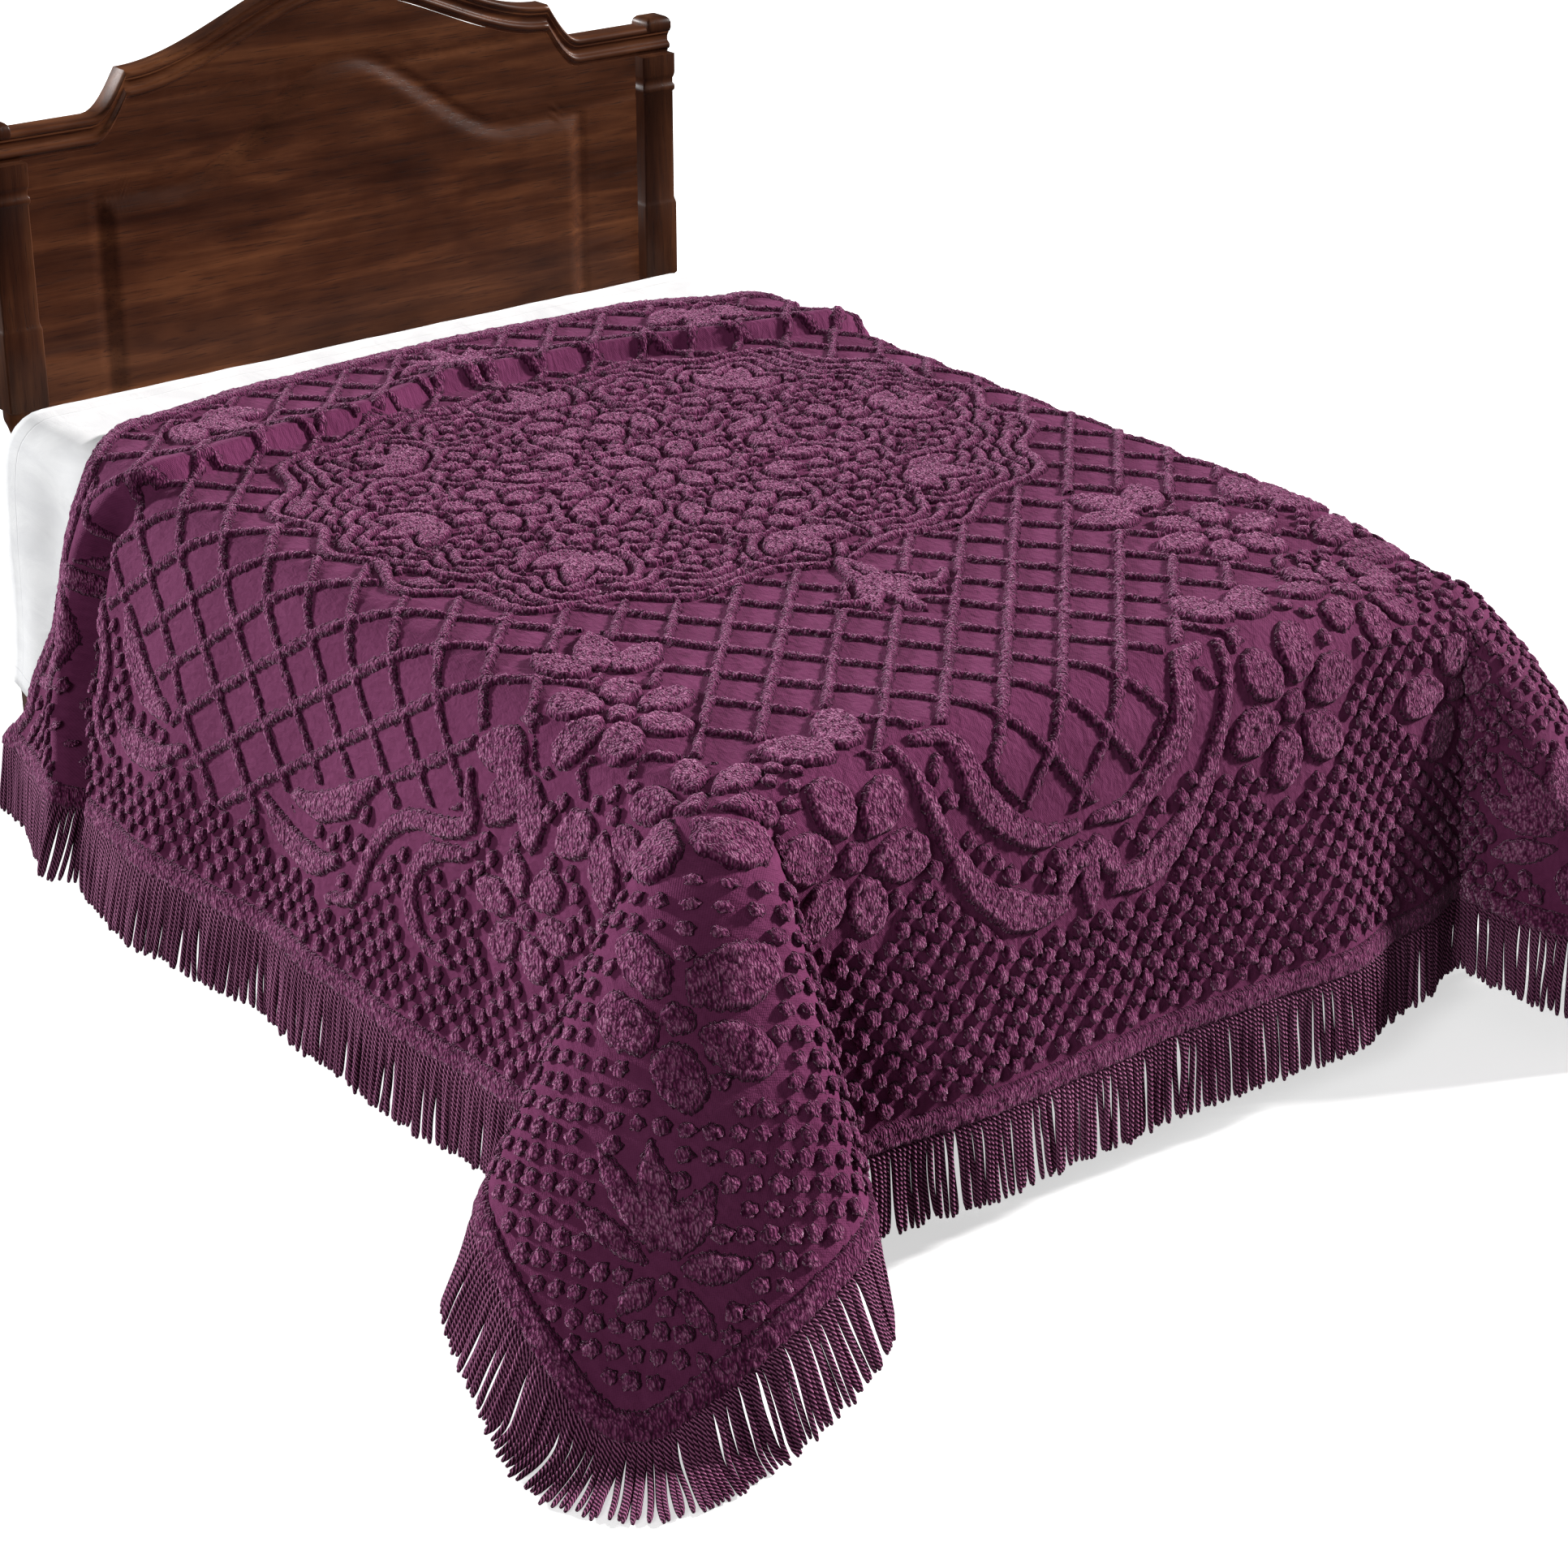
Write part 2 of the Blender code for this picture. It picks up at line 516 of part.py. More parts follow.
def build():
    for old in list(bpy.data.objects):
        bpy.data.objects.remove(old, do_unlink=True)
    parts = bpy.data.collections.new("Chenille bedspread on a bed")
    joined = bpy.data.collections.new("Joined shapes")
    for group in (parts, joined):
        bpy.context.scene.collection.children.link(group)

    plum = material("plum chenille", (0.105, 0.022, 0.075), 0.85)
    cord = material("plum cord", (0.115, 0.026, 0.082), 0.75)
    white = material("white cotton", (0.82, 0.82, 0.83), 0.8)
    ticking = material("ticking", (0.78, 0.77, 0.74), 0.85)
    mahogany = material("mahogany", (0.055, 0.018, 0.010), 0.35)

    make_bedspread(plum, parts)
    make_fringe(cord, parts)
    make_sheet(white, parts)
    make_mattress(ticking, parts)
    make_frame(mahogany, ticking, parts)
    make_headboard(mahogany, parts)
    for side, name in ((-1, "post_left"), (1, "post_right")):
        for shape in make_post(name, side, mahogany, parts):
            parts.objects.unlink(shape)
            joined.objects.link(shape)
    stand_on_origin(parts)


build()
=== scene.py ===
"""A plum chenille bedspread with a corded fringe, draped over a plain double bed.

Metres, +Z up. X runs across the bed, Y from its foot to its head. The bedspread and all that is tufted on it
are set out on the flat cloth, across from its middle and along from the mattress's foot edge, then laid.
"""

import math

import bmesh
import bpy
import numpy as np
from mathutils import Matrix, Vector


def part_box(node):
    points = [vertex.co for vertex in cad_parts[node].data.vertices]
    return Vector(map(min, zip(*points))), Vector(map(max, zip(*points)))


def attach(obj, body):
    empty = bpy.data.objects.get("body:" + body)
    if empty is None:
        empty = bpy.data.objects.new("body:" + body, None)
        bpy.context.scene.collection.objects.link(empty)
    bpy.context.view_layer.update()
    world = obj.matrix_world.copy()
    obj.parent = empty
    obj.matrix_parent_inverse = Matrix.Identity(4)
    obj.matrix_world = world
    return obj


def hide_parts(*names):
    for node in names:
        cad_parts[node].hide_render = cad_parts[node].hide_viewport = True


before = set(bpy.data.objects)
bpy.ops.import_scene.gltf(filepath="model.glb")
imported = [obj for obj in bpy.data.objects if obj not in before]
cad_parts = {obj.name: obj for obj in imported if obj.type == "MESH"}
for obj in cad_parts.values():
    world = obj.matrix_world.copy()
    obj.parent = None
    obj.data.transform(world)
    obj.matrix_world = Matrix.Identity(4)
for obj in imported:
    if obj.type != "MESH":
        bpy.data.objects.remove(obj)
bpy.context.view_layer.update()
chance = np.random.default_rng(11)

foot_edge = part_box("mattress")
PLACE = np.array(((foot_edge[0][0] + foot_edge[1][0]) / 2, foot_edge[0][1], 0.0))   # middle of the foot edge

# ---- the bed
MATTRESS_WIDTH, MATTRESS_LENGTH = 1.37, 1.91
MATTRESS_TOP, MATTRESS_DEPTH = 0.670, 0.25
EDGE_RADIUS = 0.055
CLOTH_GAP = 0.0008                         # under a cloth that lies on the mattress
QUILT, PIPING = 0.17, 0.0042               # pitch of the ticking's quilting, half-width of its rims' cord
POST_SIDE, POST_OUT = 0.07, 0.67           # a post's side, and half the width over the posts
POST_FRONT = MATTRESS_LENGTH + 0.015
BOARD_MIDDLE = POST_FRONT + POST_SIDE / 2
FOOT_BLOCK_TOP, TURNED_TOP, POST_TOP = 0.20, 0.66, 1.0677
PANEL_THICK, PANEL_BOTTOM = 0.022, 0.32
CREST_DEPTH = 0.050
SHOULDER, SHOULDER_HEIGHT = 0.41, 1.185    # where the arch meets the cove
PEAK_HEIGHT = 1.300
COVE, EAR_HEIGHT = 0.065, 1.118            # width of the cove beside the shoulder, height past it
TURNING = (                                # a post's turned length: height, radius
    (0.190, 0.024), (0.205, 0.024), (0.218, 0.031), (0.232, 0.024), (0.262, 0.030), (0.330, 0.034),
    (0.395, 0.029), (0.440, 0.019), (0.505, 0.017), (0.520, 0.022), (0.535, 0.031), (0.550, 0.034),
    (0.565, 0.031), (0.580, 0.022), (0.598, 0.017), (0.628, 0.024), (0.645, 0.030), (0.670, 0.030),
)

# ---- the bedspread
CLOTH_THICK, SHEET_THICK = 0.004, 0.001
TOP = MATTRESS_TOP + 2 * CLOTH_GAP + SHEET_THICK + CLOTH_THICK / 2
HALF, FOOT = 0.63, 0.06        # where the roll over the sides and over the foot begins
ROLL = 0.096                   # radius of the cloth over the edges
DROP = 0.55                    # cloth from the roll's start to the hem
FRINGE, FRINGE_HEAD = 0.125, 0.012
HEM_GAP, LYING, SETTLE = 0.0013, 0.004, 0.030
SPREAD = HALF + DROP           # flat half-width to the hem
HEM = FOOT - DROP              # flat place of the foot hem
# lean of the hanging cloth from plumb: place along the panel, degrees
LEFT_LEAN = ((0.06, 13), (0.30, 15), (0.80, 18), (1.20, 21), (1.45, 19), (1.70, 12))
RIGHT_LEAN = ((0.06, 7), (0.40, 13), (1.20, 16), (1.80, 17))
FOOT_LEAN = ((-0.63, 10), (-0.40, 13), (-0.10, 15), (0.30, 15), (0.48, 10), (0.63, 4))
# soft folds of the drops: place along the panel, half-width, push outward at the hem
LEFT_FOLDS = ((0.50, 0.16, 0.012), (0.86, 0.14, -0.014), (1.16, 0.13, 0.012))
RIGHT_FOLDS = ((0.45, 0.18, 0.020), (0.85, 0.16, -0.018), (1.20, 0.15, 0.016))
FOOT_FOLDS = ((-0.34, 0.14, 0.010), (-0.02, 0.16, -0.010), (0.28, 0.13, 0.012))
# a foot corner's cone: the Bezier controls of its rulings' headings, how much longer its ridge hangs,
# and the radius of the ridge over the corner
NEAR_CONE = ((1.10, -0.29), (-0.12, 1.05)), 0.13, 0.22
FAR_CONE = ((1.12, -0.12), (-0.10, 1.16)), 0.06, 0.11
CORNER = 0.075                 # radius of the cloth's own foot corners
LEFT_GIVE, RIGHT_GIVE, GIVE_REACH = 0.018, 0.048, 0.16   # how the bed gives at its foot corners
CLOTH_SHARE = 0.85                                       # how much of that the bedspread follows
# the pleat that crosses the bed near its head, and the cloth's head edge: flat place across, along
PLEAT = ((-1.18, 1.42), (-0.99, 1.49), (-0.82, 1.52), (-0.64, 1.45), (-0.30, 1.49), (-0.05, 1.56),
         (0.16, 1.54), (0.64, 1.44), (0.90, 1.45), (1.18, 1.40))
HEAD_EDGE = ((-1.18, 1.74), (-1.08, 1.66), (-0.90, 1.59), (-0.74, 1.59), (-0.56, 1.71), (-0.30, 1.75),
             (0.0, 1.77), (0.40, 1.75), (0.60, 1.68), (0.76, 1.61), (1.18, 1.60))
PLEAT_RISE, PLEAT_LIP, PLEAT_GROOVE = 0.010, 0.022, 0.028

# ---- the white sheet under it
SHEET_HALF, SHEET_ROLL, SHEET_DROP = 0.630, 0.066, 0.49
SHEET_FOOT, SHEET_HEAD = 0.48, 1.895
SHEET_LEAN = 3.0
SHEET_FOLDS = ((0.60, 0.20, 0.010), (1.05, 0.18, 0.012), (1.50, 0.12, 0.010), (1.80, 0.10, 0.016))

# ---- the tufting
GROUND = 0.0024                # thickness of the ground cloth
PILE = 0.0085                  # height of a full pad over it
MIDDLE = 1.03                  # the rosette's middle, along the bed
ROSETTE = (0.585, 0.455)       # half the width and half the length of the scalloped outline round it
DIAMOND = (0.104, 0.127)       # width and length of the trellis's diamonds
TRELLIS_HALF = 0.0083
NAP_EDGE, MOTIF_ROOM, ROW_PITCH = 0.0062, 0.070, 0.0120    # a motif's rounded edge, its reach, its inner rows
ROPE, ROPE_GAP = 0.0100, 0.0054    # half-width of the rows that fill the rosette, and the ground left by them
DOT_PITCH, DOT_HALF, DOT_HEIGHT = 0.0290, 0.0122, 0.0110
# a cut dot's rings: reach, height, how far its ends part
DOT_RINGS = ((0.38, 1.00, 0.05), (0.78, 0.88, 0.13), (1.00, 0.50, 0.20), (0.94, -0.08, 0.20))
BAND = 0.034                   # width of the pile along the hem
CORD_PITCH, CORD_HALF = 0.0081, 0.0043
SKEW = 0.11                    # the rosette's axis runs this much to the left toward the foot
# how far the cloth of a foot corner spreads from its diagonal laid flat, and as it hangs
SPLAY = ((0.0, 0.0), (0.20, 0.265), (0.36, 0.465), (0.52, 0.655), (0.70, 0.835), (1.0, 1.105), (9.0, 9.1))
LONGER = 1.09                  # how much longer it hangs down that diagonal
# the trellis's outline: place along, half-width
FIELD = ((-0.16, 0.0), (-0.10, 0.18), (0.03, 0.40), (0.25, 0.66), (0.45, 0.79), (0.65, 0.88), (0.85, 0.98),
         (1.03, 1.04), (1.21, 0.98), (1.41, 0.88), (1.61, 0.79), (1.80, 0.66))
# on the flat cloth: the lines at which the pile is parted into pieces, and the bounds of them all
PART_LEFT, PART_RIGHT, PART_FOOT, PART_HEAD = -0.62, 0.60, 0.56, 1.50
PILE_SIDE, PILE_FOOT, PILE_HEAD = 1.19, -0.50, 1.79
LOOK = 0.004                   # the step to a neighbouring place of the flat cloth, from which ways are read


# ---------------------------------------------------------------- the drape

def smooth(x):
    """0 below 0, 1 above 1, and an easy slope between."""
    x = np.clip(x, 0.0, 1.0)
    return x * x * (3.0 - 2.0 * x)


def unit(ways):
    """Directions at a length of one."""
    return ways / np.linalg.norm(ways, axis=-1, keepdims=True)


def walked(steps):
    """How far each of a row of places is from the first, from the steps between them."""
    return np.concatenate(((0.0,), np.cumsum(steps)))


def track(table, place):
    """A table's second column, eased from row to row, at a place in its first."""
    rows = np.array(table, float)
    place = np.clip(place, rows[0, 0], rows[-1, 0])
    row = np.clip(np.searchsorted(rows[:, 0], place, side="right") - 1, 0, len(rows) - 2)
    share = (place - rows[row, 0]) / (rows[row + 1, 0] - rows[row, 0])
    return rows[row, 1] + (rows[row + 1, 1] - rows[row, 1]) * smooth(share)


def over_edge(length, lean, radius):
    """How far out and how far down a length of cloth reaches past the start of its roll."""
    turn = math.pi / 2 - lean
    arc = np.minimum(length, radius * turn) / radius
    rest = np.maximum(length - radius * turn, 0.0)
    return radius * np.sin(arc) + rest * np.sin(lean), radius * (1 - np.cos(arc)) + rest * np.cos(lean)


def folds(table, place, length, full):
    """The push of a drop's soft folds, none at the roll and full at the hem."""
    push = np.zeros(np.shape(place))
    for middle, half_width, depth in table:
        push = push + depth * smooth(1 - np.abs(place - middle) / half_width)
    return push * np.clip(length / full, 0.0, 1.3) ** 1.5


def cone(side, foot, side_lean, foot_lean, controls, stretch, radius):
    """A foot corner: its rulings fan from the roll's corner, at even steps of angle in the flat cloth.

    side and foot are the flat distances past the two roll lines. Gives the reach past them and the fall.
    """
    step = np.linspace(0.0, 1.0, 240)[:, None]
    start = np.array((math.sin(side_lean), 0.0))
    end = np.array((0.0, math.sin(foot_lean)))
    first, second = np.array(controls)
    heading = (start * (1 - step) ** 3 + 3 * first * step * (1 - step) ** 2
               + 3 * second * step ** 2 * (1 - step) + end * step ** 3)
    down = np.sqrt(1 - (heading ** 2).sum(1))
    walk = walked(np.linalg.norm(np.diff(np.column_stack((heading, down)), axis=0), axis=1))
    turn = np.arctan2(foot, side) / (math.pi / 2)
    out_x = np.interp(turn, walk / walk[-1], heading[:, 0])
    out_y = np.interp(turn, walk / walk[-1], heading[:, 1])
    out = np.hypot(out_x, out_y)
    ridge = np.sin(math.pi * turn) ** 2
    length = np.hypot(side, foot) * (1 + stretch * ridge)
    reach, fall = over_edge(length, np.arcsin(out), ROLL + (radius - ROLL) * ridge)
    return reach * out_x / out, reach * out_y / out, fall


def corner_give(across, along):
    """How much lower the bed lies near its foot corners."""
    depth = np.where(across < 0, LEFT_GIVE, RIGHT_GIVE)
    away = np.hypot(HALF - np.abs(across), along - FOOT)
    return depth * np.exp(-(away / GIVE_REACH) ** 2)


def bare_drape(across, along):
    """The cloth's place before the pleat: flat top, rolls, drops and corner cones."""
    left = across < 0
    side, foot = np.abs(across) - HALF, FOOT - along
    beside, below = np.maximum(side, 1e-6), np.maximum(foot, 1e-6)
    x, y, fall = np.minimum(np.abs(across), HALF), np.maximum(along, FOOT), np.zeros(np.shape(across))

    lean = np.radians(np.where(left, track(LEFT_LEAN, along), track(RIGHT_LEAN, along)))
    reach, drop = over_edge(beside, lean, ROLL)
    reach = reach + np.where(left, folds(LEFT_FOLDS, along, beside, DROP),
                             folds(RIGHT_FOLDS, along, beside, DROP))
    hangs = (side > 0) & (foot <= 0)
    x, fall = np.where(hangs, HALF + reach, x), np.where(hangs, drop, fall)

    reach, drop = over_edge(below, np.radians(track(FOOT_LEAN, across)), ROLL)
    reach = reach + folds(FOOT_FOLDS, across, below, DROP)
    hangs = (side <= 0) & (foot > 0)
    y, fall = np.where(hangs, FOOT - reach, y), np.where(hangs, drop, fall)

    for here, side_lean, foot_lean, shape in ((left, LEFT_LEAN[0][1], FOOT_LEAN[0][1], NEAR_CONE),
                                              (~left, RIGHT_LEAN[0][1], FOOT_LEAN[-1][1], FAR_CONE)):
        out_x, out_y, drop = cone(beside, below, math.radians(side_lean), math.radians(foot_lean), *shape)
        corner = here & (side > 0) & (foot > 0)
        x, y = np.where(corner, HALF + out_x, x), np.where(corner, FOOT - out_y, y)
        fall = np.where(corner, drop, fall)
    return np.stack((np.where(left, -x, x), y, TOP - fall - CLOTH_SHARE * corner_give(across, along)), -1)


def outward(place, across, along):
    """Unit normals of a surface function, on the side that shows."""
    right = place(across + LOOK, along) - place(across - LOOK, along)
    ahead = place(across, along + LOOK) - place(across, along - LOOK)
    return unit(np.cross(right, ahead))


def drape(across, along):
    """Where the flat point (across, along) of the bedspread hangs, with its pleat."""
    past = along - track(PLEAT, across)
    hanging = smooth((np.abs(across) - HALF) / 0.25)
    lip = PLEAT_LIP * np.exp(-(np.maximum(past, 0) / 0.055) ** 2)
    lift = smooth((past + 0.012) / 0.026) * (PLEAT_RISE + lip)
    lift = lift - hanging * PLEAT_GROOVE * np.exp(-((past + 0.022) / 0.020) ** 2)
    return bare_drape(across, along) + outward(bare_drape, across, along) * lift[..., None]


def lay_sheet(across, along):
    """Where the flat point of the white sheet lies."""
    left, side = across < 0, np.maximum(np.abs(across) - SHEET_HALF, 0.0)
    reach, fall = over_edge(side, math.radians(SHEET_LEAN), SHEET_ROLL)
    reach = reach + folds(SHEET_FOLDS, along, side, SHEET_DROP)
    x = np.minimum(np.abs(across), SHEET_HALF) + reach
    z = MATTRESS_TOP + CLOTH_GAP + SHEET_THICK / 2 - fall - corner_give(across, along)
    return np.stack((np.where(left, -x, x), along, z), -1)


def unevenness(across, along, grain, seed):
    """Soft patches between 0 and 1, about a grain across."""
    table = np.random.default_rng(seed).random((64, 64))
    u, v = across / grain + 17.3, along / grain + 9.1
    column, row = np.floor(u).astype(int), np.floor(v).astype(int)
    right, ahead = smooth(u - column), smooth(v - row)
    near = table[row % 64, column % 64] * (1 - right) + table[row % 64, (column + 1) % 64] * right
    far = table[(row + 1) % 64, column % 64] * (1 - right) + table[(row + 1) % 64, (column + 1) % 64] * right
    return near * (1 - ahead) + far * ahead


def work_out_lie():
    """The hanging cloth with its small swells, and its outward direction, on a fine flat grid."""
    across = np.arange(-SPREAD - 0.03, SPREAD + 0.03, LOOK)
    along = np.arange(HEM - 0.03, 1.83, LOOK)
    flat = np.meshgrid(across, along)
    points = drape(*flat)
    facing = unit(np.cross(np.gradient(points, axis=1), np.gradient(points, axis=0)))
    swell = (0.0026 * unevenness(*flat, 0.13, 3) + 0.0012 * unevenness(*flat, 0.045, 4)
             + 0.0030 * unevenness(*flat, 0.30, 5))
    return across[0], along[0], points + facing * swell[..., None] + PLACE, facing


def read_lie(across, along):
    """Points and outward directions of the hanging cloth at flat places."""
    start_across, start_along, points, facing = LIE
    u, v = (np.asarray(across) - start_across) / LOOK, (np.asarray(along) - start_along) / LOOK
    column = np.clip(np.floor(u).astype(int), 0, points.shape[1] - 2)
    row = np.clip(np.floor(v).astype(int), 0, points.shape[0] - 2)
    right, ahead = (u - column)[..., None], (v - row)[..., None]

    def between(table):
        return ((table[row, column] * (1 - right) + table[row, column + 1] * right) * (1 - ahead)
                + (table[row + 1, column] * (1 - right) + table[row + 1, column + 1] * right) * ahead)

    return between(points), unit(between(facing))


def lay(across, along, lift):
    """Points at a height over the hanging cloth's middle."""
    point, normal = read_lie(across, along)
    return point + normal * np.asarray(lift)[..., None]


def hem_depth(across, along):
    """Flat distance in from the hem, negative past it."""
    side, foot = SPREAD - np.abs(across), along - HEM
    round_side, round_foot = CORNER - side, CORNER - foot
    turned = (round_side > 0) & (round_foot > 0)
    return np.where(turned, CORNER - np.hypot(round_side, round_foot), np.minimum(side, foot))


def round_corners(across, along):
    """Draws the square foot corners of the flat cloth in to their radius."""
    side, foot = np.abs(across) - SPREAD + CORNER, HEM + CORNER - along
    corner = (side > 0) & (foot > 0)
    reach = np.hypot(side, foot)
    draw = np.where(corner, np.maximum(side, foot) / np.where(corner, reach, 1.0), 1.0)
    return (np.where(corner, np.sign(across) * (SPREAD - CORNER + side * draw), across),
            np.where(corner, HEM + CORNER - foot * draw, along))


# ---------------------------------------------------------------- the tufted pattern

def spline(points, spacing=0.0025):
    """A smooth line through points, sampled evenly, and how far along it each sample is, from 0 to 1."""
    points = np.array(points, float)
    padded = np.vstack((2 * points[0] - points[1], points, 2 * points[-1] - points[-2]))
    line = []
    for a, b, c, d in zip(padded, padded[1:], padded[2:], padded[3:]):
        t = np.linspace(0, 1, max(3, int(np.linalg.norm(c - b) / spacing)), endpoint=False)[:, None]
        line.append(0.5 * (2 * b + (c - a) * t + (2 * a - 5 * b + 4 * c - d) * t ** 2
                           + (3 * b - a - 3 * c + d) * t ** 3))
    line = np.vstack((*line, points[-1:]))
    walk = walked(np.linalg.norm(np.diff(line, axis=0), axis=1))
    return line, walk / walk[-1]


def turned(angle):
    """What a row of points is multiplied by to turn them."""
    return np.array(((math.cos(angle), math.sin(angle)), (-math.sin(angle), math.cos(angle))))


def stroke(points, widths):
    """Tufting along a smooth line: its samples, the half-width at each, and its height as a share of full."""
    line, place = spline(points)
    return line, np.interp(place, np.linspace(0, 1, len(widths)), widths), 1.0


def ray(reach_from, reach_to, widths, turn=0.0):
    """A tapering stroke along +X, turned by an angle; its rounded ends lie just inside its reach."""
    back, length = reach_from + widths[0], reach_to - reach_from - widths[0] - widths[-1]
    line = np.array([(back + length * share, 0.0) for share in (0, 0.35, 0.7, 1)])
    return stroke(line @ turned(turn), widths)


def leaf(reach_from, reach_to, width, turn=0.0):
    """A pointed leaf."""
    widths = [width * share for share in (0.12, 0.34, 0.49, 0.50, 0.42, 0.28, 0.10)]
    return ray(reach_from, reach_to, widths, turn)


def flower(petals, reach, heart=0.2, turn=0.0, between=0.0026):
    """A button and the petals about it, which fill their wheel but for a narrow gap between each two."""
    button = np.array(((0.0, 0.0), (0.0005, 0.0))), np.full(2, reach * heart), 0.9
    made, share = [button], math.sin(math.pi / petals)
    for n in range(petals):
        longer = reach * (0.97 + 0.05 * math.sin(2.4 * n + 60 * reach))
        start = reach * heart + 2 * between
        wide, narrow = 0.63 * longer * share - between, max(start * share - between, 0.003)
        made.append(ray(start, longer, (narrow, 0.45 * narrow + 0.55 * wide, wide, 0.90 * wide, 0.34 * wide),
                        turn + 2 * math.pi * n / petals))
    return made


def fan(leaves, spread, reach, width, start=0.12):
    """Leaves that open out about +X, the middle one longest."""
    made = []
    for n in range(leaves):
        turn = spread * (n / (leaves - 1) - 0.5) if leaves > 1 else 0.0
        made.append(leaf(reach * start, reach * (1 - 0.30 * abs(turn) / max(spread, 0.1)), width, turn))
    return made


def curl(length, start, finish, widths):
    """A scroll whose bending goes evenly from start to finish, in degrees a centimetre."""
    steps = max(8, int(length / 0.0025))
    share = np.linspace(0, 1, steps)
    bend = np.radians(start + (finish - start) * share) * length * 100 / steps
    heading = np.cumsum(bend) - bend[0]
    line = np.cumsum(np.column_stack((np.cos(heading), np.sin(heading))), axis=0) * length / steps
    return line - line[0], np.interp(share, np.linspace(0, 1, len(widths)), widths), 1.0


def put(strokes, x, y, turn=0.0, flip=False):
    """Strokes moved to a place in the cloth, turned in degrees, and flipped over their own X if asked."""
    spin, side = turned(math.radians(turn)), np.array((1.0, -1.0 if flip else 1.0))
    return [((line * side) @ spin + (x, y), width, tall) for line, width, tall in strokes]


def both_sides(strokes):
    """Strokes and their like on the bed's other side."""
    return strokes + [(line * (-1.0, 1.0), width, tall) for line, width, tall in strokes]


def ring(radius, half):
    """A circle of tufting."""
    turn = np.linspace(0, 2 * math.pi, 40)
    return radius * np.column_stack((np.cos(turn), np.sin(turn))), np.full(40, half), 1.0


def hung(strokes):
    """Strokes drawn on a foot corner as it hangs, X from its ridge and Y down it, at their flat place."""
    splay = np.array(SPLAY)
    made = []
    for line, width, tall in strokes:
        down = np.maximum(line[:, 1], 0.004) / LONGER
        off = np.interp(np.abs(line[:, 0]) / down, splay[:, 1], splay[:, 0]) * np.sign(line[:, 0]) * down
        flat = np.column_stack((HALF + (down + off) / math.sqrt(2), FOOT - (down - off) / math.sqrt(2)))
        made.append((flat, width * 0.80, tall))
    return made


def rosette():
    """The wheel of flowers, buds and scrolls in the middle of the bed, longer across than along."""
    made = flower(8, 0.112, 0.24) + [ring(0.136, 0.0095)]
    for n in range(8):
        turn, away = 45 * n, math.radians(45 * n)
        x, y = math.cos(away), math.sin(away)
        made += put(flower(6 + n % 2, 0.088 - 0.010 * (n % 2), 0.24, 0.3), 0.325 * x, 0.250 * y, turn)
        made += put(fan(3, 1.5, 0.125, 0.052, 0.08), 0.412 * x, 0.330 * y, turn)
        made += put(fan(2, 0.75, 0.088, 0.040, 0.04), 0.152 * x, 0.142 * y, turn)
        x, y = math.cos(away + math.pi / 8), math.sin(away + math.pi / 8)
        made += put([leaf(0.0, 0.100, 0.044)], 0.170 * x, 0.158 * y, turn + 22.5)
        made += put(flower(5, 0.048, 0.28), 0.440 * x, 0.345 * y, turn + 22.5)
    made = put(made, 0.0, MIDDLE)
    for end in (-1, 1):
        reach = MIDDLE + end * 0.475
        for flip in (False, True):
            made += put([curl(0.26, 2, 12, (0.009, 0.013, 0.013, 0.011, 0.009))], 0.0, reach,
                        end * 90 + (24 if flip else -24), flip=flip)
        made += put(fan(3, 0.9, 0.17, 0.044, 0.1), 0.0, reach + end * 0.06, end * 90)
    return made


